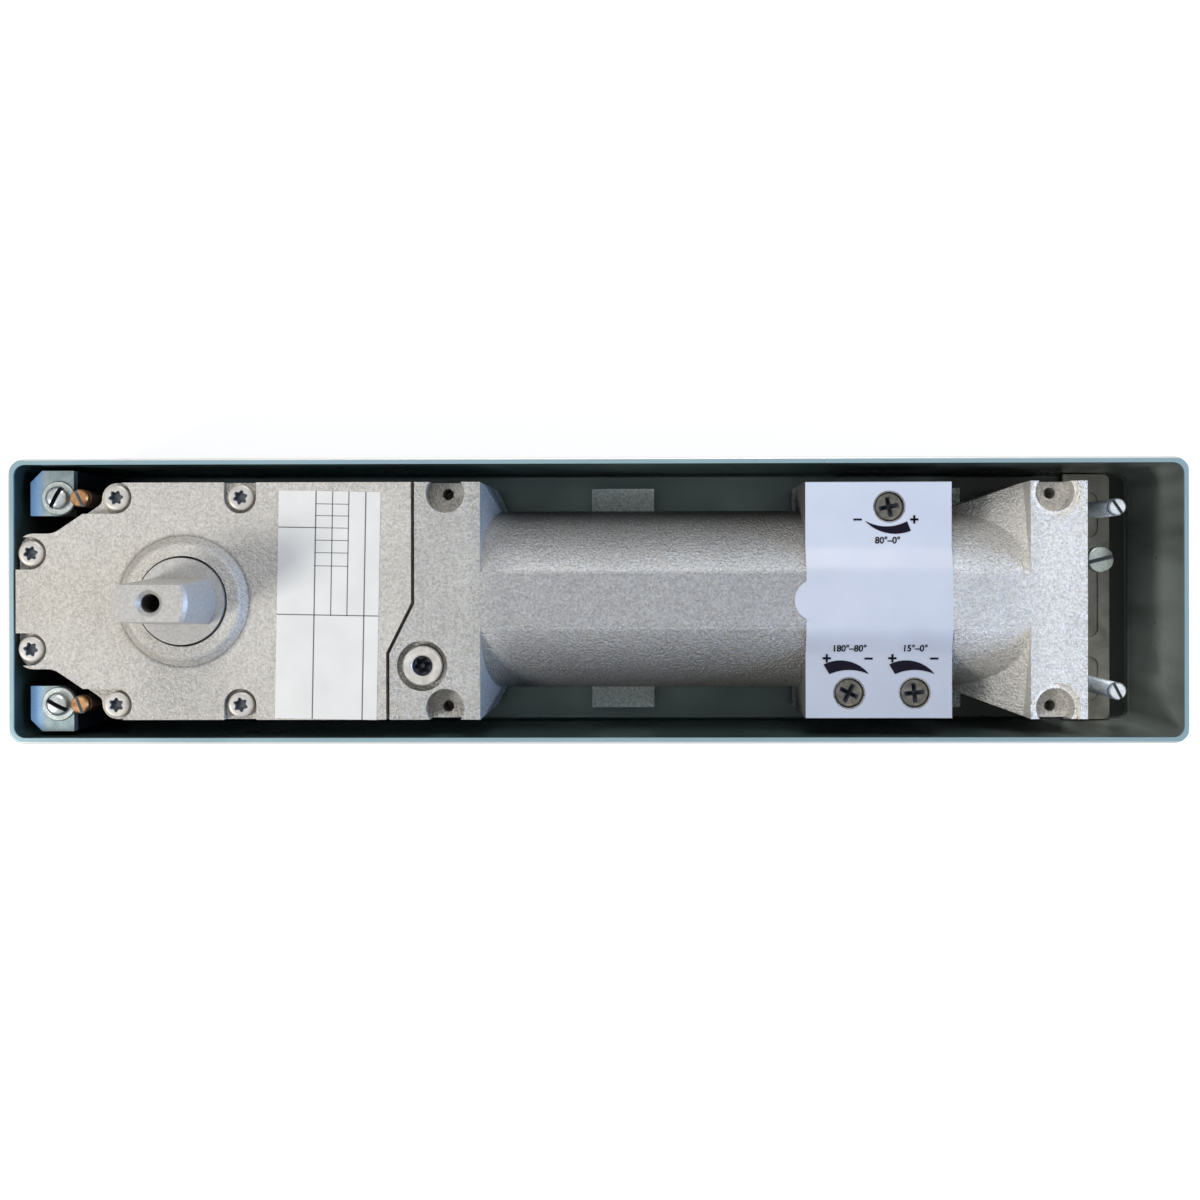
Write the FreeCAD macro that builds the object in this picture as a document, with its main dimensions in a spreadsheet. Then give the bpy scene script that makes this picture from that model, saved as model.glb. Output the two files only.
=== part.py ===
"""Floor spring door closer in its cement box.

Millimetres, +Z up. The origin is the centre of the underside of the box.
+X runs from the spindle end to the free end, +Y across the box.
"""
import FreeCAD, Part
import math
import os
import re
import Sketcher

Vector = FreeCAD.Vector
Turn = FreeCAD.Rotation

# Driving sizes: name, millimetres (or degrees, or a count), what it is.
SIZES = [
    ("far_room", 27.6, "closer body to the far end wall of the box"),
    ("side_room", 5.2, "closer body to the side wall of the box"),
    ("box_wall", 1.8, "sheet thickness of the box"),
    ("box_corner", 5.0, "outside radius of the upright corners"),
    ("box_bottom_round", 3.0, "outside radius along the floor"),
    ("box_rim_round", 0.6, "rounded outer edge of the rim"),
    ("press_gap", 0.02, "radial gap of parts that stay put"),
    ("run_gap", 0.05, "radial gap of a shaft in its bearing"),
    ("slide_gap", 0.1, "radial gap of the piston in its bore"),
    ("pair_gap", 0.4, "gap of flat faces that pass each other"),
    ("end_gap", 0.4, "closer body to the end wall of the box"),
    ("plate_lift", 1.2, "base plate above the floor of the box"),
    ("plate_thick", 2.5, "base plate thickness"),
    ("plate_half", 25.0, "half width of the base plate under the closer"),
    ("plate_head", 14.7, "length of the wide end of the base plate"),
    ("ear_length", 7.6, "length of the ears at the near end of the base plate"),
    ("ear_room", 2.9, "ears of the base plate to the side wall"),
    ("plate_end_gap", 7.1, "base plate to the far end wall"),
    ("plate_side_gap", 0.4, "wide end of the base plate to the side wall"),
    ("plate_round", 2.0, "corner radius of the base plate"),
    ("pocket_depth", 1.2, "depth of the pressed pockets"),
    ("pocket_length", 9.6, "length of the pressed pockets"),
    ("pocket_rim", 3.5, "pocket to the end of the base plate"),
    ("pocket_width", 26.0, "width of the middle pocket"),
    ("pocket_side_width", 14.5, "width of the side pockets"),
    ("pocket_side_room", 13.3, "middle of a side pocket to the side wall"),
    ("pocket_round", 3.0, "corner radius of the pockets"),
    ("level_r", 2.6, "levelling screw radius"),
    ("level_end_x", 17.9, "far levelling screws from the end of the box, outside"),
    ("level_end_room", 12.4, "far levelling screws to the side wall"),
    ("level_end_drop", 10.0, "far levelling screws below the rim"),
    ("level_near_x", 20.0, "near levelling screws from the end of the box, outside"),
    ("level_near_room", 9.5, "near levelling screws to the side wall"),
    ("level_near_drop", 2.0, "near levelling screws below the rim"),
    ("slot_width", 1.0, "screwdriver slot width"),
    ("slot_depth", 1.4, "screwdriver slot depth"),
    ("fix_x", 18.7, "plate fixing screw from the end of the box, outside"),
    ("fix_y", 11.8, "plate fixing screw from the centre line"),
    ("fix_r", 2.45, "plate fixing screw shank radius"),
    ("fix_head_r", 4.0, "plate fixing screw head radius"),
    ("fix_head", 3.2, "plate fixing screw head height"),
    ("fix_drop", 24.0, "plate fixing screw head below the rim"),
    ("fix_tip", 0.4, "plate fixing screw tip above the underside"),
    ("fix_slot", 12.0, "length of the slot for the plate fixing screw"),
    ("fix_play", 0.4, "plate fixing screw in its slot"),
    ("pillar_inset_x", 4.3, "pillar from the end of the box, outside"),
    ("pillar_inset_y", 3.2, "pillar from the side of the box, outside"),
    ("pillar_length", 12.4, "pillar along the box"),
    ("pillar_width", 13.2, "pillar across the box"),
    ("pillar_bevel", 3.4, "bevel of the outer pillar corner"),
    ("clamp_lip", 0.5, "clamp plate past the pillar, towards the closer"),
    ("clamp_thick", 3.0, "clamp plate thickness"),
    ("clamp_drop", 6.0, "clamp plate below the rim"),
    ("clamp_round", 5.4, "rounded inner corner of a clamp plate"),
    ("clamp_screw_x", 8.4, "clamp screw from the pillar's outer end"),
    ("clamp_screw_y", 8.0, "clamp screw from the pillar's outer side"),
    ("clamp_screw_r", 2.5, "clamp screw shank radius"),
    ("clamp_screw_depth", 14.0, "clamp screw length in the pillar"),
    ("clamp_washer_r", 4.5, "clamp screw collar radius"),
    ("clamp_washer", 0.7, "clamp screw collar height"),
    ("clamp_head_r", 3.6, "clamp screw head radius"),
    ("clamp_head", 2.4, "clamp screw head height"),
    ("body_drop", 0.5, "closer top below the rim of the box"),
    ("chamber_wall", 4.5, "side wall of the cam chamber"),
    ("nose_wall", 19.0, "cam chamber to the near end of the body"),
    ("cover_tail", 35.9, "cover plate past the cam chamber"),
    ("land_length", 20.0, "land beside the cover plate"),
    ("land_step", 7.2, "step in the edge between cover plate and land"),
    ("land_step_top", -0.6, "start of the step, across the body"),
    ("land_step_low", -15.0, "end of the step, across the body"),
    ("land_gap", 1.0, "joint line between cover plate and land"),
    ("lobe_left", 24.1, "side lobe from the end of the body"),
    ("lobe_width", 5.9, "width of a side lobe at its foot"),
    ("neck_left", 11.0, "neck of the outline from the end of the body"),
    ("neck_step", 14.7, "narrow end of the body, in from its side"),
    ("lobe_round", 4.4, "radius of the side lobes"),
    ("lobe_foot_round", 2.6, "radius at the foot of the side lobes"),
    ("neck_round", 6.0, "hollow radius of the neck"),
    ("end_round", 5.2, "radius of the narrow end's corners"),
    ("barrel_length", 94.1, "barrel between land and valve block"),
    ("barrel_wall", 8.7, "wall of the barrel round the piston bore"),
    ("strip_depth", 1.0, "depth of the flat along the top of the barrel"),
    ("land_flare", 4.0, "length of the flare at the land"),
    ("flare_side", 9.5, "wide end of a flare, its side edge below the top"),
    ("flare_inset", 0.4, "narrow end of a flare inside the barrel"),
    ("flare_sink", 15.8, "narrow end of a flare, its ridge below the top"),
    ("block_length", 42.4, "valve block length"),
    ("block_step", 3.0, "shoulders of the valve block below its ridge"),
    ("flange_thick", 16.3, "end flange thickness"),
    ("foot_length", 19.5, "length of a cast foot"),
    ("foot_x", 30.6, "cast foot from the land"),
    ("foot_height", 9.0, "height of a cast foot"),
    ("foot_end_length", 9.5, "cast foot beside the valve block"),
    ("floor_thick", 4.3, "cam chamber floor thickness"),
    ("cover_thick", 6.0, "cover plate thickness"),
    ("gasket_thick", 0.5, "gasket thickness"),
    ("gasket_land", 3.2, "gasket width round the chamber"),
    ("hub_wall", 3.9, "hub wall round the upper bearing"),
    ("hub_depth", 6.9, "hub under the cover plate, depth"),
    ("boss_height", 2.0, "raised boss on the cover plate, height"),
    ("boss_slope", 2.6, "sloping side of the raised boss, width"),
    ("boss_wall", 1.0, "raised boss round the seal, at its top"),
    ("shaft_r", 12.5, "spindle journal radius in the cover"),
    ("shaft_rise", 1.0, "spindle journal above the boss"),
    ("cone_step", 2.3, "step from the spindle journal to its end"),
    ("cone_height", 26.5, "spindle end height"),
    ("flat_foot", 13.2, "thickness across the flats at the foot"),
    ("flat_top", 9.9, "thickness across the flats at the top"),
    ("cone_edge", 0.9, "edge bevel of the spindle end"),
    ("thread_r", 2.5, "tapped hole in the spindle, radius"),
    ("thread_depth", 20.0, "tapped hole in the spindle, depth"),
    ("thread_sink_r", 3.6, "countersink of the tapped hole, radius"),
    ("upper_bearing_wall", 4.0, "upper bearing wall"),
    ("upper_bearing_height", 8.5, "upper bearing height"),
    ("seal_width", 2.9, "spindle seal width"),
    ("seal_height", 3.6, "spindle seal height"),
    ("lip_gap", 0.6, "spindle in its way through the boss, gap"),
    ("foot_journal_r", 8.0, "lower journal radius"),
    ("lower_bearing_wall", 4.5, "lower bearing wall"),
    ("lower_bearing_height", 7.2, "lower bearing height"),
    ("lower_boss_wall", 3.9, "boss wall round the lower bearing"),
    ("cam_thick", 12.0, "cam thickness"),
    ("cam_bore_r", 9.5, "cam bore radius"),
    ("cam_rest", 20.0, "roller axis from the spindle axis, door shut"),
    ("cam_rise", 14.0, "cam lift in half a turn"),
    ("cam_gap", 0.2, "cam to roller"),
    ("cam_room", 3.0, "cam to the chamber wall"),
    ("key_width", 4.0, "cam key width"),
    ("key_half", 1.6, "cam key depth in the shaft and in the cam"),
    ("roller_r", 7.0, "roller radius"),
    ("pin_r", 3.5, "roller pin radius"),
    ("prong", 4.6, "fork prong thickness"),
    ("prong_half", 10.5, "fork prong half width"),
    ("prong_tip", 5.5, "fork prong past the roller axis"),
    ("slot_back", 1.6, "back of the fork slot behind the roller"),
    ("fork_relief", 1.0, "prong relief past the chamber's edge"),
    ("bore_r", 18.0, "piston bore radius"),
    ("piston_length", 109.5, "piston length"),
    ("cup_depth", 14.0, "spring cup depth in the piston"),
    ("cup_wall", 2.0, "spring cup wall"),
    ("ring_inset", 20.0, "piston ring from the open end"),
    ("ring_width", 3.0, "piston ring width"),
    ("ring_depth", 1.9, "piston ring depth"),
    ("ball_r", 3.0, "check ball radius"),
    ("ball_bore_r", 3.3, "check valve bore radius"),
    ("ball_lift", 0.6, "check ball lift"),
    ("passage_r", 2.0, "oil passage radius"),
    ("plug_thick", 2.0, "check valve plug thickness"),
    ("spring_length", 92.0, "spring length, door shut"),
    ("spring_gap", 0.4, "spring in its cup, gap"),
    ("wire_wide", 4.4, "spring wire, across"),
    ("wire_tall", 6.0, "spring wire, along the axis"),
    ("spring_turns", 7.0, "number of spring turns"),
    ("collar_thick", 8.0, "spring collar thickness"),
    ("collar_room", 20.3, "spring collar to the end plug"),
    ("force_r", 6.0, "force screw thread radius"),
    ("force_lead", 12.0, "force screw past the spring collar"),
    ("force_collar_step", 3.5, "force screw collar past its thread"),
    ("force_collar", 4.0, "force screw collar thickness"),
    ("force_neck_r", 5.0, "force screw neck radius"),
    ("force_key", 3.0, "hex socket, half across the corners"),
    ("force_key_depth", 6.0, "hex socket depth"),
    ("plug_step", 1.5, "end plug bore past the piston bore"),
    ("plug_inset", 4.8, "end plug below the end face"),
    ("plug_length", 25.5, "end plug length"),
    ("plug_ring_width", 3.0, "end plug ring width"),
    ("plug_ring_depth", 1.8, "end plug ring depth"),
    ("spanner_r", 2.0, "spanner hole radius"),
    ("spanner_y", 12.0, "spanner holes from the axis"),
    ("spanner_depth", 5.0, "spanner hole depth"),
    ("cover_screw_edge", 4.3, "outer cover screws from the side of the body"),
    ("cover_screw_near", 29.0, "near outer cover screws from the body end"),
    ("cover_screw_far", 65.1, "far outer cover screws from the body end"),
    ("cover_screw_end", 4.2, "end cover screws from the body end"),
    ("cover_screw_inset", 5.7, "end cover screws in from the narrow end's side"),
    ("cover_screw_r", 2.0, "cover screw shank radius"),
    ("cover_screw_grip", 9.0, "cover screw length in the casting"),
    ("cover_head_r", 3.75, "cover screw head radius"),
    ("cover_head", 2.6, "cover screw head height"),
    ("cover_recess_gap", 0.95, "cover screw recess round the head"),
    ("cover_recess", 3.0, "cover screw recess depth"),
    ("fixing_x", 10.1, "top plate hole from the land's edge"),
    ("fixing_end_x", 9.2, "top plate hole from the end face"),
    ("fixing_edge", 3.3, "top plate holes from the side of the body"),
    ("fixing_r", 1.65, "top plate hole radius"),
    ("fixing_depth", 10.0, "top plate hole depth below its recess"),
    ("fixing_recess_r", 5.6, "recess round a top plate hole, radius"),
    ("fixing_recess", 6.9, "recess round a top plate hole, depth"),
    ("spot_width", 1.6, "machined ring round a far recess, width"),
    ("spot_depth", 0.5, "machined ring round a far recess, depth"),
    ("filler_x", 16.8, "oil plug from the land's far edge"),
    ("filler_y", -18.8, "oil plug from the centre line"),
    ("filler_r", 4.2, "oil plug thread radius"),
    ("filler_depth", 19.5, "oil hole depth"),
    ("filler_grip", 9.0, "oil plug thread length"),
    ("filler_head_r", 5.9, "oil plug head radius"),
    ("filler_head", 1.8, "oil plug head height"),
    ("filler_recess_gap", 1.4, "oil plug recess round the head"),
    ("filler_recess", 3.0, "oil plug recess depth"),
    ("filler_washer", 0.8, "oil plug washer thickness"),
    ("valve_mid_x", 24.3, "closing valve from the valve block's near face"),
    ("valve_near_x", 12.6, "opening range valve from the near face"),
    ("valve_far_x", 10.8, "latching valve from the far face"),
    ("valve_edge", 7.3, "valves from the side of the body"),
    ("valve_r", 4.25, "valve screw radius"),
    ("valve_drop", 0.6, "valve screw below the shoulder"),
    ("valve_length", 26.0, "valve screw length"),
    ("valve_bore_depth", 28.5, "valve bore depth"),
    ("valve_ring_drop", 9.0, "valve ring below the head"),
    ("valve_ring", 2.2, "valve ring height"),
    ("valve_ring_depth", 1.2, "valve ring depth"),
    ("valve_stem", 10.0, "valve stem with its needle"),
    ("valve_stem_r", 2.4, "valve stem radius"),
    ("valve_needle", 4.0, "valve needle length"),
    ("duct_r", 1.5, "oil duct radius"),
    ("duct_offset", 4.5, "oil ducts in from the valves"),
    ("foil_thick", 0.15, "label thickness"),
    ("label_gap", 9.3, "type label to the far edge of the cover plate"),
    ("label_length", 29.4, "type label along the body"),
    ("label_room", 2.8, "type label shorter than the body is wide"),
    ("label_y", -0.9, "middle of the type label"),
    ("label_tilt", 1.1, "type label out of square, degrees"),
    ("foil_hole_gap", 0.45, "holes in the adjustment label round the valves"),
    ("foil_edge", 0.15, "adjustment label inside the edges of the block"),
    ("tab_r", 6.0, "tab of the adjustment label, radius"),
    ("tab_x", 2.6, "tab middle from the block's near face"),
    ("under_screw_r", 2.4, "screws under the base plate, radius"),
    ("under_head_r", 4.4, "screws under the base plate, head radius"),
    ("under_screw_y", 19.5, "screws under the base plate from the centre line"),
    ("under_grip", 7.0, "screws under the base plate, length in the body"),
]

# Sizes worked out from the ones above: name, formula, what it is.
DERIVED = [
    ("chamber_r", "cam_rest - roller_r - cam_gap + cam_rise + cam_room", "cam chamber radius"),
    ("body_half", "chamber_r + chamber_wall", "half width of the closer body"),
    ("box_width", "2 * (body_half + side_room + box_wall)", "cement box, outside width"),
    ("spindle_inset", "nose_wall + chamber_r", "spindle axis from the end of the body"),
    ("chamber_length", "spindle_inset + chamber_r + cover_tail + land_length",
     "cam chamber end with its land"),
    ("piston_reach", "cam_rest - prong_tip + piston_length", "open end of the piston from the spindle axis"),
    ("spring_reach", "spring_length - cup_depth + collar_thick + collar_room",
     "end plug from the open end of the piston"),
    ("body_length", "spindle_inset + piston_reach + spring_reach + plug_length + plug_inset",
     "closer body length"),
    ("box_length", "body_length + end_gap + far_room + 2 * box_wall", "cement box, outside length"),
    ("barrel_r", "bore_r + barrel_wall", "barrel outside radius"),
    ("barrel_drop", "barrel_r - strip_depth", "barrel axis below the top of the body"),
    ("inner_end", "box_length / 2 - box_wall", "inside end wall of the box"),
    ("inner_side", "box_width / 2 - box_wall", "inside side wall of the box"),
    ("plate_low", "box_wall + plate_lift", "underside of the base plate"),
    ("plate_top", "plate_low + plate_thick", "top of the base plate"),
    ("axis_z", "plate_top + floor_thick + bore_r", "height of the barrel axis"),
    ("body_top", "axis_z + barrel_drop", "top of the closer body"),
    ("box_height", "body_top + body_drop", "cement box, outside height"),
    ("plate_right", "inner_end - plate_end_gap", "far end of the base plate"),
    ("ear_half", "inner_side - ear_room", "half width of the base plate across its ears"),
    ("pocket_side_y", "inner_side - pocket_side_room", "middle of a side pocket"),
    ("pillar_left", "pillar_inset_x - box_length / 2", "outer end of the pillars"),
    ("pillar_right", "pillar_left + pillar_length", "inner end of the pillars"),
    ("pillar_out", "box_width / 2 - pillar_inset_y", "outer side of a pillar"),
    ("plate_left", "pillar_right + clamp_lip", "near end of the base plate"),
    ("clamp_top", "box_height - clamp_drop", "top of a clamp plate"),
    ("level_far", "box_length / 2 - level_end_x", "far levelling screws"),
    ("level_near", "level_near_x - box_length / 2", "near levelling screws"),
    ("level_end_y", "inner_side - level_end_room", "far levelling screws from the centre line"),
    ("level_near_y", "inner_side - level_near_room", "near levelling screws from the centre line"),
    ("fixer_x", "box_length / 2 - fix_x", "plate fixing screw"),
    ("body_left", "end_gap - inner_end", "near end of the closer body"),
    ("body_right", "body_left + body_length", "far end of the closer body"),
    ("lobe_low", "body_half - lobe_width", "foot of the side lobe from the centre line"),
    ("neck_half", "body_half - neck_step", "half width of the narrow end"),
    ("land_right", "body_left + chamber_length", "far edge of the land"),
    ("land_left", "land_right - land_length + land_gap", "near edge of the land"),
    ("cover_right", "land_left - land_gap", "far edge of the cover plate"),
    ("block_left", "land_right + barrel_length", "near face of the valve block"),
    ("block_right", "block_left + block_length", "far face of the valve block"),
    ("flange_left", "body_right - flange_thick", "near face of the end flange"),
    ("strip_half", "sqrt(barrel_r ^ 2 - barrel_drop ^ 2)", "half width of the flat on the barrel"),
    ("flare_neck", "barrel_r - flare_inset", "narrow end of a flare, half width"),
    ("cover_low", "body_top - cover_thick", "underside of the cover plate"),
    ("joint_z", "cover_low - gasket_thick", "top of the casting under the gasket"),
    ("chamber_floor", "plate_top + floor_thick", "floor of the cam chamber"),
    ("spindle_x", "body_left + spindle_inset", "spindle axis"),
    ("upper_bearing_r", "shaft_r + upper_bearing_wall", "upper bearing outside radius"),
    ("hub_r", "upper_bearing_r + hub_wall", "hub under the cover plate, radius"),
    ("seal_r", "shaft_r + seal_width", "spindle seal outside radius"),
    ("lip_r", "shaft_r + lip_gap", "way of the spindle through the boss, radius"),
    ("boss_top_r", "seal_r + boss_wall", "raised boss, top radius"),
    ("boss_foot_r", "boss_top_r + boss_slope", "raised boss, foot radius"),
    ("cone_r", "shaft_r - cone_step", "spindle end radius"),
    ("lower_bearing_r", "foot_journal_r + lower_bearing_wall", "lower bearing outside radius"),
    ("lower_boss_r", "lower_bearing_r + lower_boss_wall", "boss round the lower bearing, radius"),
    ("boss_top", "body_top + boss_height", "top of the raised boss"),
    ("shaft_top", "boss_top + shaft_rise", "top of the spindle journal"),
    ("spindle_top", "shaft_top + cone_height", "top of the spindle"),
    ("hub_low", "cover_low - hub_depth", "underside of the hub"),
    ("seal_low", "hub_low + upper_bearing_height + run_gap", "underside of the spindle seal"),
    ("cam_low", "axis_z - cam_thick / 2", "underside of the cam"),
    ("cam_top", "axis_z + cam_thick / 2", "top of the cam"),
    ("fork_low", "cam_low - pair_gap - prong", "underside of the fork"),
    ("fork_top", "cam_top + pair_gap + prong", "top of the fork"),
    ("bearing_top", "fork_low - 2 * pair_gap", "top of the lower bearing"),
    ("bearing_low", "bearing_top - lower_bearing_height", "foot of the lower bearing"),
    ("roller_x", "spindle_x + cam_rest", "roller axis"),
    ("fork_left", "roller_x - prong_tip", "tips of the fork"),
    ("piston_right", "fork_left + piston_length", "open end of the piston"),
    ("cup_x", "piston_right - cup_depth", "bottom of the spring cup"),
    ("cup_r", "bore_r - cup_wall", "spring cup radius"),
    ("spring_r", "cup_r - spring_gap", "spring outside radius"),
    ("collar_left", "cup_x + spring_length", "near face of the spring collar"),
    ("force_collar_r", "force_r + force_collar_step", "force screw collar radius"),
    ("plug_r", "bore_r + plug_step", "end plug radius"),
    ("plug_right", "body_right - plug_inset", "outer face of the end plug"),
    ("plug_left", "plug_right - plug_length", "inner face of the end plug"),
    ("shoulder_z", "body_top - block_step", "shoulders of the valve block"),
    ("cover_screw_y", "body_half - cover_screw_edge", "outer cover screws from the centre line"),
    ("cover_screw_end_y", "neck_half - cover_screw_inset", "end cover screws from the centre line"),
    ("cover_recess_r", "cover_head_r + cover_recess_gap", "cover screw recess radius"),
    ("valve_y", "body_half - valve_edge", "valves from the centre line"),
    ("duct_y", "valve_y - duct_offset", "oil ducts from the centre line"),
    ("valve_top", "shoulder_z - valve_drop", "top of a valve screw"),
    ("foil_hole_r", "valve_r + foil_hole_gap", "holes in the adjustment label, radius"),
    ("fixing_y", "body_half - fixing_edge", "top plate holes from the centre line"),
    ("spot_r", "fixing_recess_r + spot_width", "machined ring round a far recess, radius"),
    ("fixing_near", "land_right - fixing_x", "near top plate holes"),
    ("fixing_far", "body_right - fixing_end_x", "far top plate holes"),
    ("filler_at", "land_right - filler_x", "oil plug axis"),
    ("filler_recess_r", "filler_head_r + filler_recess_gap", "oil plug recess radius"),
    ("label_width", "2 * body_half - label_room", "type label across the body"),
    ("label_left", "cover_right - label_gap - label_length", "near edge of the type label"),
]

NAMES = {row[0] for row in SIZES} | {row[0] for row in DERIVED}
BIG = 400.0
UPRIGHT = Turn()
ALONG_X = Turn(Vector(0, 1, 0), 90)
ALONG_Y = Turn(Vector(1, 0, 0), -90)

doc = FreeCAD.newDocument("FloorSpring")


def fill_sheet():
    """Write the sizes into the spreadsheet and give each cell its name."""
    table = doc.addObject("Spreadsheet::Sheet", "Sizes")
    rows = [(n, str(v), note) for n, v, note in SIZES]
    rows += [(n, "=" + formula, note) for n, formula, note in DERIVED]
    for row, (name, content, note) in enumerate(rows, start=1):
        table.set("A%d" % row, note)
        table.set("B%d" % row, content)
        table.setAlias("B%d" % row, name)
    doc.recompute()
    return table


sheet = fill_sheet()


def size(name):
    """Value of one named size."""
    return float(sheet.get(name))


def sized(text):
    """The same formula with its size names pointing at the sheet."""
    def point(word):
        return "Sizes." + word.group() if word.group() in NAMES else word.group()
    return re.sub(r"[a-z][a-z_]*", point, str(text))


def bind(item, prop, formula):
    item.setExpression(prop, sized(formula))


def put(item, x="0", y="0", z="0", turn=UPRIGHT):
    """Place an object; its coordinates are formulas."""
    item.Placement = FreeCAD.Placement(Vector(0, 0, 0), turn)
    for axis, formula in (("x", x), ("y", y), ("z", z)):
        bind(item, "Placement.Base." + axis, formula)
    return item


def block(name, x, y, z):
    """Box between two formulas along each axis."""
    item = doc.addObject("Part::Box", name)
    for prop, (low, high) in (("Length", x), ("Width", y), ("Height", z)):
        bind(item, prop, "(%s) - (%s)" % (high, low))
    return put(item, x[0], y[0], z[0])


def rod(name, radius, length, x="0", y="0", z="0", turn=UPRIGHT):
    """Cylinder that starts at a point and runs along its own axis."""
    item = doc.addObject("Part::Cylinder", name)
    bind(item, "Radius", radius)
    bind(item, "Height", length)
    return put(item, x, y, z, turn)


def taper(name, first, second, length, x="0", y="0", z="0", turn=UPRIGHT):
    """Cone from one radius to another."""
    item = doc.addObject("Part::Cone", name)
    bind(item, "Radius1", first)
    bind(item, "Radius2", second)
    bind(item, "Height", length)
    return put(item, x, y, z, turn)


def joined(name, pieces):
    item = doc.addObject("Part::MultiFuse", name)
    item.Shapes = pieces
    return item


def cut(name, base, tools):
    """Base less its tools."""
    item = doc.addObject("Part::Cut", name)
    item.Base = base
    item.Tool = tools[0] if len(tools) == 1 else joined(name + "_tools", tools)
    return item


def common(name, first, second):
    item = doc.addObject("Part::Common", name)
    item.Base = first
    item.Tool = second
    return item


def group(name, pieces):
    """Separate solids kept as one piece of the list, such as like screws."""
    item = doc.addObject("Part::Compound", name)
    item.Links = pieces
    return item


def origin_plane(body, role):
    return next(f for f in body.Origin.OriginFeatures if f.Role == role)


def polygon(body, name, plane, points, lift="0"):
    """Closed outline whose corners are formulas, on one of the body's own planes."""
    sketch = body.newObject("Sketcher::SketchObject", name)
    sketch.AttachmentSupport = [(origin_plane(body, plane), "")]
    sketch.MapMode = "FlatFace"
    bind(sketch, "AttachmentOffset.Base.z", lift)
    count = len(points)
    rough = [Vector(10.0 * math.cos(2 * math.pi * i / count),
                    10.0 * math.sin(2 * math.pi * i / count), 0) for i in range(count)]
    lines = [Part.LineSegment(rough[i], rough[(i + 1) % count]) for i in range(count)]
    sketch.addGeometry(lines, False)
    for i in range(count):
        sketch.addConstraint(Sketcher.Constraint("Coincident", i, 2, (i + 1) % count, 1))
    for i, (across, up) in enumerate(points):
        for kind, value, formula in (("DistanceX", rough[i].x, across), ("DistanceY", rough[i].y, up)):
            index = sketch.addConstraint(Sketcher.Constraint(kind, -1, 1, i, 1, value))
            sketch.setExpression("Constraints[%d]" % index, sized(formula))
    return sketch


def body_with_pad(name, points, height, lift="0", plane="XY_Plane"):
    """Body made by padding one outline."""
    body = doc.addObject("PartDesign::Body", name)
    sketch = polygon(body, name + "_outline", plane, points, lift)
    pad = body.newObject("PartDesign::Pad", name + "_pad")
    pad.Profile = sketch
    bind(pad, "Length", height)
    sketch.Visibility = False
    doc.recompute()
    return body


def turned(name, points, x="0", y="0", z="0", turn=UPRIGHT):
    """Body made by turning an outline of (radius, height) round its upright axis."""
    body = doc.addObject("PartDesign::Body", name)
    sketch = polygon(body, name + "_outline", "XZ_Plane", points)
    ring = body.newObject("PartDesign::Revolution", name + "_turned")
    ring.Profile = sketch
    ring.ReferenceAxis = (sketch, ["V_Axis"])
    ring.Angle = 360.0
    return put(body, x, y, z, turn)


def washer(name, inner, outer, low, high, x="0", y="0", z="0", turn=UPRIGHT):
    """Ring with a square section."""
    points = [(inner, low), (outer, low), (outer, high), (inner, high)]
    return turned(name, points, x, y, z, turn)


def round_edges(body, name, radius, wanted):
    """Fillet the edges of the body's last feature that a test picks."""
    doc.recompute()
    last = body.Tip
    picked = [("Edge%d" % (i + 1)) for i, edge in enumerate(last.Shape.Edges) if wanted(edge)]
    fillet = body.newObject("PartDesign::Fillet", name)
    fillet.Base = (last, picked)
    bind(fillet, "Radius", radius)
    doc.recompute()
    return fillet


def upright(edge):
    """True for a straight edge along Z."""
    ends = edge.Vertexes
    if len(ends) != 2 or edge.Curve.TypeId != "Part::GeomLine":
        return False
    span = ends[1].Point - ends[0].Point
    return abs(span.x) < 1e-6 and abs(span.y) < 1e-6


def near(edge, x, y):
    """True for an upright edge at a place, on either side of the centre line."""
    if not upright(edge):
        return False
    point = edge.Vertexes[0].Point
    return abs(point.x - x) < 0.05 and abs(abs(point.y) - y) < 0.05


def level_at(height):
    """Test for edges that lie flat at a height."""
    return lambda edge: all(abs(v.Point.z - height) < 1e-6 for v in edge.Vertexes)


def rectangle(left, right, low, high):
    return [(left, low), (right, low), (right, high), (left, high)]


def cement_box():
    """Drawn steel box, open on top, with one tapped hole in its floor."""
    half_x = "box_length / 2"
    half_y = "box_width / 2"
    outline = rectangle("-" + half_x, half_x, "-" + half_y, half_y)
    body = body_with_pad("box_blank", outline, "box_height")
    round_edges(body, "box_corners", "box_corner", upright)
    round_edges(body, "box_foot", "box_bottom_round", level_at(0.0))
    round_edges(body, "box_rim", "box_rim_round", level_at(size("box_height")))
    inner = rectangle("-inner_end", "inner_end", "-inner_side", "inner_side")
    core = body_with_pad("box_core", inner, "box_height", lift="box_wall")
    round_edges(core, "core_corners", "box_corner - box_wall", upright)
    round_edges(core, "core_foot", "box_bottom_round - box_wall", level_at(size("box_wall")))
    hole = rod("box_hole", "fix_r + press_gap", "2 * box_wall", "fixer_x", "fix_y", "-box_wall / 2")
    return cut("cement_box", body, [core, hole])


def level_places():
    """Formulas for the four levelling screws: name, x, y, height of the top."""
    far_top = "box_height - level_end_drop"
    near_top = "box_height - level_near_drop"
    return [("level_screw_near_rear", "level_near", "level_near_y", near_top),
            ("level_screw_near_front", "level_near", "-level_near_y", near_top),
            ("level_screw_far_rear", "level_far", "level_end_y", far_top),
            ("level_screw_far_front", "level_far", "-level_end_y", far_top)]


def under_places():
    """The four screws that hold the closer on its base plate."""
    return [(x, y) for x in ("fixing_near", "fixing_far")
            for y in ("under_screw_y", "-under_screw_y")]


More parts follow.
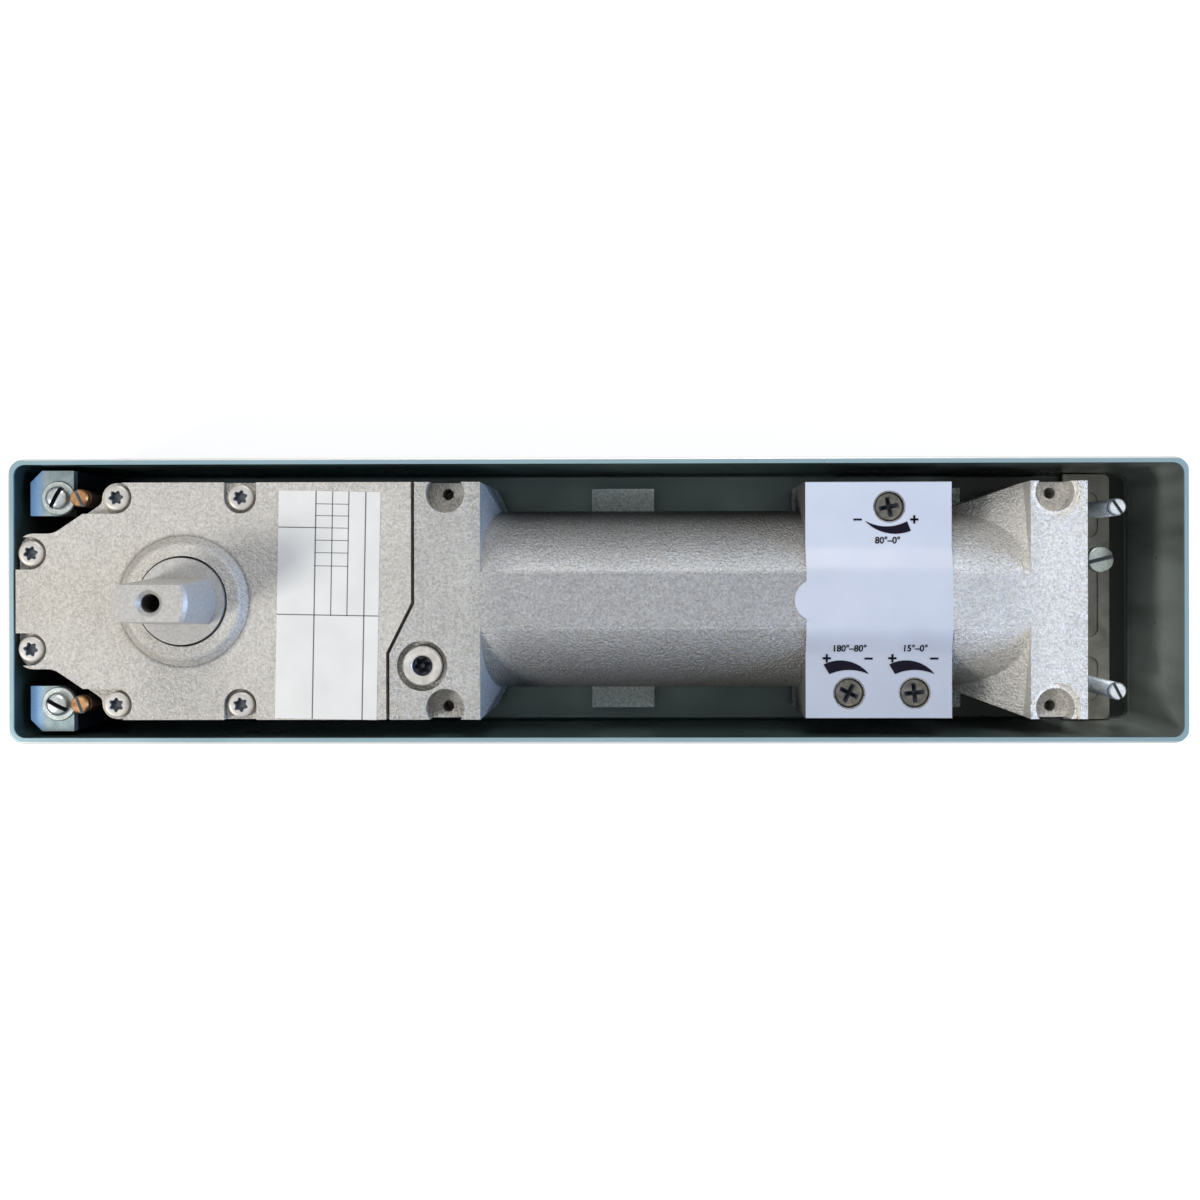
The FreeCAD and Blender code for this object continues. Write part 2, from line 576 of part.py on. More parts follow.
def base_plate():
    """Plate under the closer, with a wide end and three pressed pockets."""
    wide = "inner_side - plate_side_gap"
    step = "plate_right - plate_head"
    ears = "plate_left + ear_length"
    near_half = [("plate_left", "ear_half"), ("plate_left", "-ear_half"), (ears, "-ear_half"),
                 (ears, "-plate_half")]
    far_half = [(step, "-plate_half"), (step, "-(%s)" % wide), ("plate_right", "-(%s)" % wide),
                ("plate_right", wide), (step, wide), (step, "plate_half")]
    outline = near_half + far_half + [(ears, "plate_half"), (ears, "ear_half")]
    body = body_with_pad("plate_blank", outline, "plate_thick", lift="plate_low")
    end = size("plate_right")
    start = size("plate_left")
    round_edges(body, "plate_corners", "plate_round", lambda edge: upright(edge)
                and min(abs(edge.Vertexes[0].Point.x - end), abs(edge.Vertexes[0].Point.x - start)) < 0.05)
    tools = []
    right = "plate_right - pocket_rim"
    left = "plate_right - pocket_rim - pocket_length"
    middle = [("pocket_middle", "-pocket_width / 2", "pocket_width / 2"),
              ("pocket_rear", "pocket_side_y - pocket_side_width / 2",
               "pocket_side_y + pocket_side_width / 2"),
              ("pocket_front", "-pocket_side_y - pocket_side_width / 2",
               "-pocket_side_y + pocket_side_width / 2")]
    for name, low, high in middle:
        well = body_with_pad(name, rectangle(left, right, low, high), "plate_thick",
                             lift="plate_top - pocket_depth")
        round_edges(well, name + "_corners", "pocket_round", upright)
        tools.append(well)
    for name, x, y, top in level_places():
        tools.append(rod(name + "_hole", "level_r + run_gap", "2 * plate_thick", x, y, "plate_low - 1"))
    play = "fix_r + fix_play"
    tools.append(block("fix_slot_cut", ("fixer_x - fix_slot / 2", "fixer_x + fix_slot / 2"),
                       ("fix_y - (%s)" % play, "fix_y + " + play), ("plate_low - 1", "plate_top + 1")))
    for index, (x, y) in enumerate(under_places()):
        tools.append(rod("under_hole_%d" % index, "under_screw_r + run_gap", "2 * plate_thick",
                         x, y, "plate_low - 1"))
        tools.append(taper("under_sink_%d" % index, "under_head_r + press_gap", "under_screw_r + press_gap",
                           "under_head_r - under_screw_r", x, y, "plate_low"))
    return cut("base_plate", body, tools)


def under_screws():
    """Countersunk screws from below into the casting."""
    screws = []
    for index, (x, y) in enumerate(under_places()):
        outline = [("0", "0"), ("under_head_r", "0"),
                   ("under_screw_r", "under_head_r - under_screw_r"),
                   ("under_screw_r", "plate_thick + under_grip"), ("0", "plate_thick + under_grip")]
        screws.append(turned("under_screw_%d" % index, outline, x, y, "plate_low"))
    return group("under_screws", screws)


def slotted(name, solid, radius, x, y, top):
    """Screw with a screwdriver slot across its top."""
    groove = block(name + "_slot", ("%s - (%s) - 1" % (x, radius), "%s + (%s) + 1" % (x, radius)),
                   ("%s - slot_width / 2" % y, "%s + slot_width / 2" % y),
                   ("%s - slot_depth" % top, "%s + 1" % top))
    return cut(name, solid, [groove])


def level_screws():
    """Four slotted levelling screws that stand on the floor of the box."""
    made = []
    for name, x, y, top in level_places():
        solid = rod(name + "_rod", "level_r", "%s - box_wall" % top, x, y, "box_wall")
        made.append(slotted(name, solid, "level_r", x, y, top))
    return made


def plate_fixing_screw():
    """Cheese head screw through the slot of the base plate into the floor."""
    top = "box_height - fix_drop"
    head = rod("fixer_head", "fix_head_r", "fix_head", "fixer_x", "fix_y", top + " - fix_head")
    shank = rod("fixer_shank", "fix_r", "%s - fix_head - fix_tip" % top, "fixer_x", "fix_y", "fix_tip")
    return slotted("plate_fixing_screw", joined("fixer_solid", [head, shank]), "fix_head_r",
                   "fixer_x", "fix_y", top)


def corner_outline(side, lip):
    """Outline of a corner pillar or clamp plate with its outer corner bevelled."""
    out = "%spillar_out" % side
    inward = "-" if side == "" else "+"
    inner = "%s %s pillar_width" % (out, inward)
    right = "pillar_right + " + lip
    return [("pillar_left", "%s %s pillar_bevel" % (out, inward)), ("pillar_left + pillar_bevel", out),
            (right, out), (right, inner), ("pillar_left", inner)]


def clamp_place(side):
    """Axis of the clamp screw in a corner."""
    inward = "-" if side == "" else "+"
    return "pillar_left + clamp_screw_x", "%spillar_out %s clamp_screw_y" % (side, inward)


def corner_parts(word, side):
    """Pillar on the floor of the box and the clamp plate on top of it."""
    x, y = clamp_place(side)
    under = "clamp_top - clamp_thick"
    solid = body_with_pad("pillar_blank_" + word, corner_outline(side, "0"),
                          under + " - box_wall", lift="box_wall")
    hole = rod("pillar_hole_" + word, "clamp_screw_r + press_gap", "clamp_screw_depth + 3", x, y,
               under + " - clamp_screw_depth - 2")
    pillar = cut("corner_pillar_" + word, solid, [hole])
    plate = body_with_pad("clamp_blank_" + word, corner_outline(side, "clamp_lip - pair_gap / 2"),
                          "clamp_thick", lift=under)
    corner_x = size("pillar_right") + size("clamp_lip") - size("pair_gap") / 2
    corner_y = size("pillar_out") - size("pillar_width")
    round_edges(plate, "clamp_round_" + word, "clamp_round",
                lambda edge: near(edge, corner_x, corner_y))
    bore = rod("clamp_hole_" + word, "clamp_screw_r + pair_gap", "3 * clamp_thick", x, y,
               under + " - clamp_thick")
    return [pillar, cut("clamp_plate_" + word, plate, [bore])]


def clamp_screws():
    """The two collared slotted screws of the corner clamps."""
    screws = []
    for word, side in (("rear", ""), ("front", "-")):
        x, y = clamp_place(side)
        foot = "clamp_thick + clamp_screw_depth"
        outline = [("0", "0 - (%s)" % foot), ("clamp_screw_r", "0 - (%s)" % foot), ("clamp_screw_r", "0"),
                   ("clamp_washer_r", "0"), ("clamp_washer_r", "clamp_washer"),
                   ("clamp_head_r", "clamp_washer"), ("clamp_head_r", "clamp_washer + clamp_head"),
                   ("0", "clamp_washer + clamp_head")]
        solid = turned("clamp_screw_solid_" + word, outline, x, y, "clamp_top")
        screws.append(slotted("clamp_screw_" + word, solid, "clamp_head_r", x, y,
                              "clamp_top + clamp_washer + clamp_head"))
    return group("clamp_screws", screws)


def chamber_outline(right):
    """Lobed outline that the casting, the gasket and the cover plate share."""
    left = "body_left"
    half = "body_half"
    neck = "neck_half"
    return right + [("body_left + lobe_left", half), ("body_left + lobe_left", "lobe_low"),
                    ("body_left + neck_left", neck), (left, neck), (left, "-" + neck),
                    ("body_left + neck_left", "-" + neck), ("body_left + lobe_left", "-lobe_low"),
                    ("body_left + lobe_left", "-" + half)]


def cover_edge():
    """Far edge of the cover plate, with its step round the oil plug."""
    return [("cover_right - land_step", "-body_half"), ("cover_right - land_step", "land_step_low"),
            ("cover_right", "land_step_top"), ("cover_right", "body_half")]


def round_outline(body, name):
    """Round the lobes, the necks and the narrow end of the shared outline."""
    left = size("body_left")
    lobe = left + size("lobe_left")
    places = [("lobe", "lobe_round", lobe, size("body_half")),
              ("foot", "lobe_foot_round", lobe, size("lobe_low")),
              ("neck", "neck_round", left + size("neck_left"), size("neck_half")),
              ("end", "end_round", left, size("neck_half"))]
    for word, radius, x, y in places:
        round_edges(body, "%s_%s" % (name, word), radius, lambda edge: near(edge, x, y))
    return body


def cover_screw_places():
    """The six cover screws."""
    spots = []
    for side in ("", "-"):
        spots.append(("body_left + cover_screw_near", side + "cover_screw_y"))
        spots.append(("body_left + cover_screw_far", side + "cover_screw_y"))
        spots.append(("body_left + cover_screw_end", side + "cover_screw_end_y"))
    return spots


def fixing_places():
    """The four tapped holes for the top cover plate of the floor."""
    return [(x, y) for x in ("fixing_near", "fixing_far") for y in ("fixing_y", "-fixing_y")]


def valve_places():
    """Valve screws: name, x, y."""
    return [("closing_valve", "block_left + valve_mid_x", "valve_y"),
            ("wide_angle_valve", "block_left + valve_near_x", "-valve_y"),
            ("latch_valve", "block_right - valve_far_x", "-valve_y")]


def flare(name, narrow_x, wide_x):
    """Slanted flanks that widen the barrel to the full width of a wall."""
    slope = "flare_side / (body_half - strip_half)"
    sink = "body_top - flare_sink"
    low_side = "%s - %s * (flare_neck - strip_half)" % (sink, slope)
    ends = [("narrow", narrow_x, "flare_neck", sink, low_side),
            ("wide", wide_x, "body_half", "body_top", "body_top - flare_side")]
    body = doc.addObject("PartDesign::Body", name)
    sketches = []
    for word, x, half, ridge, side in ends:
        outline = [("-" + half, "plate_top"), ("-" + half, side), ("-strip_half", ridge),
                   ("strip_half", ridge), (half, side), (half, "plate_top")]
        sketches.append(polygon(body, "%s_%s" % (name, word), "YZ_Plane", outline, x))
    loft = body.newObject("PartDesign::AdditiveLoft", name + "_loft")
    loft.Profile = sketches[0]
    loft.Sections = [sketches[1]]
    loft.Ruled = True
    doc.recompute()
    return body


def housing_outside():
    """Outer form of the casting: chamber, land, barrel, valve block, flange and feet."""
    right = [("land_right", "-body_half"), ("land_right", "body_half")]
    low = body_with_pad("chamber_blank", chamber_outline(right), "joint_z - plate_top", lift="plate_top")
    round_outline(low, "chamber")
    gap = "land_gap"
    land_points = [("land_left - land_step", "-body_half"), ("land_right", "-body_half"),
                   ("land_right", "body_half"), ("land_left", "body_half"),
                   ("land_left", "land_step_top - %s / 4" % gap),
                   ("land_left - land_step", "land_step_low - %s / 4" % gap)]
    land = body_with_pad("land", land_points, "body_top - joint_z + 1", lift="joint_z - 1")
    barrel = rod("barrel", "barrel_r", "body_right - land_right", "land_right", "0", "axis_z", ALONG_X)
    flares = [flare("near_flare", "land_right + land_flare", "land_right"),
              flare("far_flare", "block_right", "flange_left")]
    valve_block = block("valve_block", ("block_left", "block_right"), ("-body_half", "body_half"),
                        ("plate_top", "shoulder_z"))
    flange = block("end_flange", ("flange_left", "body_right"), ("-body_half", "body_half"),
                   ("plate_top", "body_top"))
    feet = block("cast_feet", ("land_right + foot_x", "land_right + foot_x + foot_length"),
                 ("-body_half", "body_half"), ("plate_top", "plate_top + foot_height"))
    end_feet = block("end_feet", ("block_right", "block_right + foot_end_length"),
                     ("-body_half", "body_half"), ("plate_top", "plate_top + foot_height"))
    form = joined("housing_form", [low, land, barrel, valve_block, flange, feet, end_feet] + flares)
    limit = block("housing_limit", ("body_left - 1", "body_right"), ("-body_half", "body_half"),
                  ("plate_top", "body_top"))
    return common("housing_outside", form, limit)


def housing_inside():
    """Everything that is bored or cored out of the casting."""
    tools = [rod("cam_chamber", "chamber_r", "joint_z - chamber_floor + 1", "spindle_x", "0",
                 "chamber_floor"),
             rod("piston_bore", "bore_r", "plug_left - spindle_x", "spindle_x", "0", "axis_z", ALONG_X),
             rod("plug_bore", "plug_r + press_gap", "body_right - plug_left + 2", "plug_left - 2", "0",
                 "axis_z", ALONG_X)]
    for index, (x, y) in enumerate(cover_screw_places()):
        tools.append(rod("cover_tap_%d" % index, "cover_screw_r + press_gap", "cover_screw_grip + 4",
                         x, y, "joint_z - cover_screw_grip - 2"))
    for index, (x, y) in enumerate(fixing_places()):
        tools.append(rod("fixing_recess_%d" % index, "fixing_recess_r", "fixing_recess + 1", x, y,
                         "body_top - fixing_recess"))
        tools.append(rod("fixing_hole_%d" % index, "fixing_r", "fixing_depth + 1", x, y,
                         "body_top - fixing_recess - fixing_depth"))
        if x == "fixing_far":
            tools.append(rod("spot_ring_%d" % index, "spot_r", "spot_depth + 1", x, y,
                             "body_top - spot_depth"))
    for index, (x, y) in enumerate(under_places()):
        tools.append(rod("under_tap_%d" % index, "under_screw_r + press_gap", "under_grip + 2", x, y,
                         "plate_top - 1"))
    for name, x, y in valve_places():
        tools.append(rod(name + "_bore", "valve_r + run_gap", "valve_bore_depth + 1", x, y,
                         "shoulder_z - valve_bore_depth"))
    for word, side, end in (("rear", "", "block_left + valve_mid_x"),
                            ("front", "-", "block_right - valve_far_x")):
        tools.append(rod("duct_" + word, "duct_r", "%s - spindle_x - chamber_r / 2" % end,
                         "spindle_x + chamber_r / 2", side + "duct_y", "axis_z", ALONG_X))
    tools.append(rod("filler_hole", "filler_r + press_gap", "filler_depth + 1", "filler_at", "filler_y",
                     "body_top - filler_depth"))
    tools.append(rod("filler_recess_cut", "filler_recess_r", "filler_recess + 1", "filler_at", "filler_y",
                     "body_top - filler_recess"))
    return tools


def closer_housing():
    """The casting, with the boss of the lower bearing on its chamber floor."""
    shell = cut("housing_shell", housing_outside(), housing_inside())
    boss = rod("bearing_boss", "lower_boss_r", "bearing_top - chamber_floor + 1", "spindle_x", "0",
               "chamber_floor - 1")
    full = joined("housing_with_boss", [shell, boss])
    well = rod("bearing_well", "lower_bearing_r + press_gap", "lower_bearing_height + 1", "spindle_x", "0",
               "bearing_low")
    return cut("closer_housing", full, [well])


def cover_gasket():
    """Thin gasket between casting and cover plate."""
    body = body_with_pad("gasket_blank", chamber_outline(cover_edge()), "gasket_thick", lift="joint_z")
    round_outline(body, "gasket")
    tools = [rod("gasket_window", "chamber_r - gasket_land / 2", "3 * gasket_thick", "spindle_x", "0",
                 "joint_z - gasket_thick")]
    for index, (x, y) in enumerate(cover_screw_places()):
        tools.append(rod("gasket_hole_%d" % index, "cover_screw_r + pair_gap", "3 * gasket_thick", x, y,
                         "joint_z - gasket_thick"))
    return cut("cover_gasket", body, tools)


def screw_recess(index, x, y):
    """Recess round a cover screw, open towards the edge of the plate."""
    well = rod("cover_recess_%d" % index, "cover_recess_r", "cover_recess + 1", x, y,
               "body_top - cover_recess")
    across_x = ("body_left - 1", x)
    across_y = (y + " - cover_recess_r", y + " + cover_recess_r")
    if x.endswith("cover_screw_far"):
        across_x = (x + " - cover_recess_r", x + " + cover_recess_r")
        across_y = ("-body_half - 1", y) if y.startswith("-") else (y, "body_half + 1")
    mouth = block("cover_mouth_%d" % index, across_x, across_y, ("body_top - cover_recess", "body_top + 1"))
    return [well, mouth]


def cam_cover():
    """Cast cover plate with the raised boss, the hub below it and six screw recesses."""
    body = body_with_pad("cover_blank", chamber_outline(cover_edge()), "cover_thick", lift="cover_low")
    round_outline(body, "cover")
    hub = rod("cover_hub", "hub_r", "hub_depth + 1", "spindle_x", "0", "hub_low")
    boss = taper("cover_boss", "boss_foot_r", "boss_top_r", "boss_height", "spindle_x", "0", "body_top")
    full = joined("cover_full", [body, hub, boss])
    tools = [rod("bearing_housing", "upper_bearing_r + press_gap", "upper_bearing_height + 1", "spindle_x",
                 "0", "hub_low - 1"),
             rod("shaft_way", "lip_r", "boss_top - hub_low + 1", "spindle_x", "0", "hub_low"),
             rod("seal_well", "seal_r + press_gap", "seal_height + run_gap + 1", "spindle_x", "0",
                 "seal_low - 1")]
    for index, (x, y) in enumerate(cover_screw_places()):
        tools.append(rod("cover_hole_%d" % index, "cover_screw_r + pair_gap", "2 * cover_thick", x, y,
                         "cover_low - cover_thick / 2"))
        tools += screw_recess(index, x, y)
    return cut("cam_cover", full, tools)


def cover_screws():
    """Six pan head screws in the recesses of the cover plate."""
    screws = []
    for index, (x, y) in enumerate(cover_screw_places()):
        tip = "0 - cover_thick + cover_recess - gasket_thick - cover_screw_grip"
        outline = [("0", tip), ("cover_screw_r", tip), ("cover_screw_r", "0"), ("cover_head_r", "0"),
                   ("cover_head_r", "cover_head * 3 / 4"), ("cover_head_r * 4 / 5", "cover_head"),
                   ("0", "cover_head")]
        screws.append(turned("cover_screw_%d" % index, outline, x, y, "body_top - cover_recess"))
    return group("cover_screws", screws)


def spindle():
    """Turned spindle with two tapered flats, a tapped end and the keyway of the cam."""
    edge = "spindle_top - cone_edge"
    outline = [("0", "bearing_low + pair_gap"), ("foot_journal_r", "bearing_low + pair_gap"),
               ("foot_journal_r", "bearing_top"), ("cam_bore_r", "bearing_top + pair_gap"),
               ("cam_bore_r", "cam_top"), ("shaft_r", "cam_top"), ("shaft_r", "shaft_top"),
               ("cone_r", "shaft_top"), ("cone_r", edge), ("cone_r - cone_edge", "spindle_top"),
               ("0", "spindle_top")]
    solid = turned("spindle_solid", outline, "spindle_x", "0", "0")
    reach = "shaft_r + 2"
    tools = []
    for word, side in (("rear", ""), ("front", "-")):
        inner = [("%sflat_foot / 2" % side, "shaft_top"), ("%s(%s)" % (side, reach), "shaft_top"),
                 ("%s(%s)" % (side, reach), "spindle_top + 1"), ("%sflat_top / 2" % side, "spindle_top + 1")]
        tools.append(body_with_pad("flat_" + word, inner, "2 * shaft_r", lift="spindle_x - shaft_r",
                                   plane="YZ_Plane"))
    tools.append(rod("spindle_thread", "thread_r", "thread_depth + 1", "spindle_x", "0",
                     "spindle_top - thread_depth"))
    tools.append(taper("spindle_sink", "thread_r", "thread_sink_r", "thread_sink_r - thread_r", "spindle_x",
                       "0", "spindle_top - thread_sink_r + thread_r"))
    tools.append(block("shaft_keyway", ("spindle_x - cam_bore_r - 1", "spindle_x - cam_bore_r + key_half"),
                       ("-key_width / 2", "key_width / 2"), ("cam_low", "cam_top")))
    return cut("spindle", solid, tools)


def cam_curve(points_per_side=24):
    """Closed cam outline: two mirrored spirals that a roller follows at an even rate."""
    lift = size("cam_rise") / math.pi
    rest = size("cam_rest")
    gap = size("roller_r") + size("cam_gap")

    def flank(angle):
        """Point of the cam under the roller whose axis lies at this angle."""
        reach = rest + lift * angle
        slope = math.hypot(reach, lift)
        away_r = reach / slope
        away_t = -lift / slope
        along = reach - gap * away_r
        across = -gap * away_t
        return Vector(along * math.cos(angle) - across * math.sin(angle),
                      along * math.sin(angle) + across * math.cos(angle), 0)

    tip_angle = math.pi
    while flank(tip_angle).y < 0:
        tip_angle -= 0.0005
    first = [flank(tip_angle * i / points_per_side) for i in range(points_per_side + 1)]
    first[-1].y = 0.0
    second = [Vector(p.x, -p.y, 0) for p in reversed(first)]
    sides = []
    for points in (first, second):
        spline = Part.BSplineCurve()
        spline.interpolate(points)
        sides.append(spline.toShape())
    notch = Part.Arc(second[-1], Vector(rest - gap, 0, 0), first[0]).toShape()
    return Part.Wire([notch] + sides)


def cam_disc():
    """Heart cam on the spindle, with its bore and keyway."""
    face = Part.Face(cam_curve())
    solid = face.extrude(Vector(0, 0, size("cam_thick")))
    bore = Part.makeCylinder(size("cam_bore_r") + size("press_gap"), size("cam_thick"))
    depth = size("cam_bore_r") + size("key_half")
    width = size("key_width")
    keyway = Part.makeBox(depth, width, size("cam_thick"), Vector(-depth, -width / 2, 0))
    item = doc.addObject("Part::Feature", "cam_disc")
    item.Shape = solid.cut(bore.fuse(keyway))
    return put(item, "spindle_x", "0", "cam_low")


def cam_key():
    return block("cam_key", ("spindle_x - cam_bore_r - key_half", "spindle_x - cam_bore_r + key_half"),
                 ("-key_width / 2", "key_width / 2"), ("cam_low", "cam_top"))


def cam_spacer():
    """Ring that holds the cam up against the journal."""
    return washer("cam_spacer", "cam_bore_r + press_gap", "shaft_r", "bearing_top + pair_gap", "cam_low",
                  "spindle_x")


def bearings_and_seal():
    upper = washer("upper_bearing", "shaft_r + run_gap", "upper_bearing_r", "hub_low",
                   "hub_low + upper_bearing_height", "spindle_x")
    lower = washer("lower_bearing", "foot_journal_r + run_gap", "lower_bearing_r", "bearing_low",
                   "bearing_top", "spindle_x")
    seal = washer("spindle_seal", "shaft_r + run_gap", "seal_r", "seal_low", "seal_low + seal_height",
                  "spindle_x")
    return [upper, lower, seal]


def roller():
    play = "pin_r + run_gap"
    return washer("cam_roller", play, "roller_r", "cam_low + pair_gap", "cam_top - pair_gap", "roller_x")


def roller_pin():
    return rod("roller_pin", "pin_r", "fork_top - fork_low - 2 * pair_gap", "roller_x", "0",
               "fork_low + pair_gap")


def piston():
    """Piston with the fork of the roller at one end and the spring cup at the other."""
    solid = rod("piston_solid", "bore_r - slide_gap", "piston_length", "fork_left", "0", "axis_z", ALONG_X)
    slot_end = "roller_x + roller_r + slot_back"
    relief = "spindle_x + chamber_r + fork_relief"
    wide = "bore_r + 1"
    tools = [block("fork_slot", ("fork_left - 1", slot_end), ("-(%s)" % wide, wide),
                   ("cam_low - pair_gap", "cam_top + pair_gap")),
             block("fork_upper", ("fork_left - 1", relief), ("-(%s)" % wide, wide),
                   ("fork_top", "axis_z + " + wide)),
             block("fork_lower", ("fork_left - 1", relief), ("-(%s)" % wide, wide),
                   ("axis_z - (%s)" % wide, "fork_low")),
             block("fork_rear", ("fork_left - 1", slot_end), ("prong_half", wide),
                   ("axis_z - (%s)" % wide, "axis_z + " + wide)),
             block("fork_front", ("fork_left - 1", slot_end), ("-(%s)" % wide, "-prong_half"),
                   ("axis_z - (%s)" % wide, "axis_z + " + wide)),
             rod("pin_hole", "pin_r + press_gap", "2 * bore_r", "roller_x", "0", "axis_z - bore_r"),
             rod("spring_cup", "cup_r", "cup_depth + 1", "cup_x", "0", "axis_z", ALONG_X),
             rod("ball_bore", "ball_bore_r", "%s + 1" % ball_room(), "cup_x - (%s)" % ball_room(), "0",
                 "axis_z", ALONG_X),
             rod("oil_passage", "passage_r", "cup_x - roller_x", "roller_x", "0", "axis_z", ALONG_X),
             cut("ring_groove", rod("ring_outer", "bore_r + 1", "ring_width", ring_left(), "0", "axis_z",
                                    ALONG_X),
                 [rod("ring_core", "bore_r - slide_gap - ring_depth", "ring_width", ring_left(), "0",
                      "axis_z", ALONG_X)])]
    return cut("piston", solid, tools)


def ball_room():
    """Depth of the check valve bore."""
    return "plug_thick + 2 * ball_r + ball_lift"


def ring_left():
    return "piston_right - ring_inset"


def piston_ring():
    return washer("piston_ring", "bore_r - slide_gap - ring_depth + press_gap", "bore_r - run_gap", "0",
                  "ring_width - press_gap", ring_left(), "0", "axis_z", ALONG_X)


def check_valve():
    """Ball and its plug in the piston."""
    ball = doc.addObject("Part::Sphere", "check_ball")
    bind(ball, "Radius", "ball_r")
    contact = "sqrt(ball_r ^ 2 - passage_r ^ 2)"
    put(ball, "cup_x - plug_thick - %s - run_gap" % contact, "0", "axis_z")
    plug = washer("check_valve_plug", "passage_r", "ball_bore_r - press_gap", "0 - plug_thick", "0",
                  "cup_x", "0", "axis_z", ALONG_X)
    return [ball, plug]


def main_spring():
    """Compression spring of rectangular wire."""
    body = doc.addObject("PartDesign::Body", "main_spring")
    low = "run_gap"
    inner = "spring_r - wire_wide"
    outline = rectangle(inner, "spring_r", low, low + " + wire_tall")
    sketch = polygon(body, "wire_section", "XZ_Plane", outline)
    coil = body.newObject("PartDesign::AdditiveHelix", "coil")
    coil.Profile = sketch
    coil.ReferenceAxis = (sketch, ["V_Axis"])
    coil.Mode = "pitch-turns-angle"
    travel = "(spring_length - wire_tall - 2 * run_gap)"
    bind(coil, "Pitch", travel + " / spring_turns")
    bind(coil, "Turns", "spring_turns")
    return put(body, "cup_x", "0", "axis_z", ALONG_X)


def force_adjuster():
    """Spring collar, the screw that moves it and the ring round the screw's neck."""
    collar = washer("spring_collar", "force_r + run_gap", "bore_r - slide_gap", "0", "collar_thick",
                    "collar_left", "0", "axis_z", ALONG_X)
    tip = "collar_left - force_lead - plug_left"
    screw_outline = [("0", tip), ("force_r", tip), ("force_r", "-force_collar - pair_gap"),
                     ("force_collar_r", "-force_collar - pair_gap"), ("force_collar_r", "-pair_gap"),
                     ("force_neck_r", "-pair_gap"), ("force_neck_r", "plug_length + 1"),
                     ("0", "plug_length + 1")]
    solid = turned("force_screw_solid", screw_outline, "plug_left", "0", "axis_z", ALONG_X)
    socket = doc.addObject("Part::Prism", "force_socket")
    socket.Polygon = 6
    bind(socket, "Circumradius", "force_key")
    bind(socket, "Height", "force_key_depth + 1")
    put(socket, "plug_right + 1 - force_key_depth", "0", "axis_z", ALONG_X)
    screw = cut("force_screw", solid, [socket])
    ring = washer("force_screw_ring", "force_neck_r + run_gap", "force_neck_r + plug_ring_depth",
                  "plug_length / 3 + press_gap", "plug_length / 3 + plug_ring_width", "plug_left", "0",
                  "axis_z", ALONG_X)
    return [collar, screw, ring]


def end_plug():
    """Screwed plug that closes the barrel, and the ring round it."""
    inner = "force_neck_r + run_gap"
    groove_low = "plug_length / 3"
    groove_high = "plug_length / 3 + plug_ring_width + press_gap"
    deep = "plug_r - plug_ring_depth"
    neck_groove = "force_neck_r + plug_ring_depth + press_gap"
    outline = [(inner, "0"), ("plug_r", "0"), ("plug_r", groove_low), (deep, groove_low),
               (deep, groove_high), ("plug_r", groove_high), ("plug_r", "plug_length"),
               (inner, "plug_length"), (inner, groove_high), (neck_groove, groove_high),
               (neck_groove, groove_low), (inner, groove_low)]
    solid = turned("end_plug_solid", outline, "plug_left", "0", "axis_z", ALONG_X)
    holes = [rod("spanner_hole_" + word, "spanner_r", "spanner_depth + 1", "plug_right - spanner_depth",
                 side + "spanner_y", "axis_z", ALONG_X) for word, side in (("rear", ""), ("front", "-"))]
    plug = cut("end_plug", solid, holes)
    ring = washer("end_plug_ring", deep + " + press_gap", "plug_r", groove_low + " + press_gap",
                  "plug_length / 3 + plug_ring_width", "plug_left", "0", "axis_z", ALONG_X)
    return [plug, ring]


def valves():
    """Three regulating valves, each with its ring."""
    made = []
    rings = []
    for name, x, y in valve_places():
        groove = "0 - valve_ring_drop"
        under = "0 - valve_ring_drop - valve_ring"
        body_end = "valve_stem - valve_length"
        needle = "valve_needle - valve_length"
        deep = "valve_r - valve_ring_depth"
        outline = [("0", "-valve_length"), ("valve_stem_r / 4", "-valve_length"), ("valve_stem_r", needle),
                   ("valve_stem_r", body_end), ("valve_r", body_end), ("valve_r", under), (deep, under),
                   (deep, groove), ("valve_r", groove), ("valve_r", "0"), ("0", "0")]
        made.append(turned(name, outline, x, y, "valve_top"))
        rings.append(washer(name + "_ring", deep + " + press_gap", "valve_r", under + " + press_gap",
                            "0 - valve_ring_drop - press_gap", x, y, "valve_top"))
    return made + rings


def oil_plug():
    """Oil plug in the land, and its washer."""
    foot = "body_top - filler_recess"
    head_low = "filler_washer"
    outline = [("0", "0 - filler_grip"), ("filler_r", "0 - filler_grip"), ("filler_r", head_low),
               ("filler_head_r", head_low), ("filler_head_r", head_low + " + filler_head"),
               ("0", head_low + " + filler_head")]
    plug = turned("oil_plug", outline, "filler_at", "filler_y", foot)
    ring = washer("oil_plug_washer", "filler_r + press_gap", "filler_head_r", "0",
                  "filler_washer", "filler_at", "filler_y", foot)
    return [plug, ring]


def type_label():
    """Blank type label on the cover plate, a little out of square as it was stuck on."""
    label = doc.addObject("Part::Box", "type_label")
    bind(label, "Length", "label_length")
    bind(label, "Width", "label_width")
    bind(label, "Height", "foil_thick")
    tilt = Turn(Vector(0, 0, 1), -size("label_tilt"))
    return put(label, "label_left - sin(label_tilt) * label_width / 2",
               "label_y - label_width / 2", "body_top", tilt)


def foil_arch(name, radius, top):
    """Stretch of a barrel between the shoulders of the valve block and a height."""
    length = "block_length - foil_edge"
    whole = rod(name + "_rod", radius, length, "block_left", "0", "axis_z", ALONG_X)
    limit = block(name + "_limit", ("block_left", "block_right"), ("-body_half", "body_half"),
                  ("shoulder_z - foil_thick", top))
    return common(name, whole, limit)


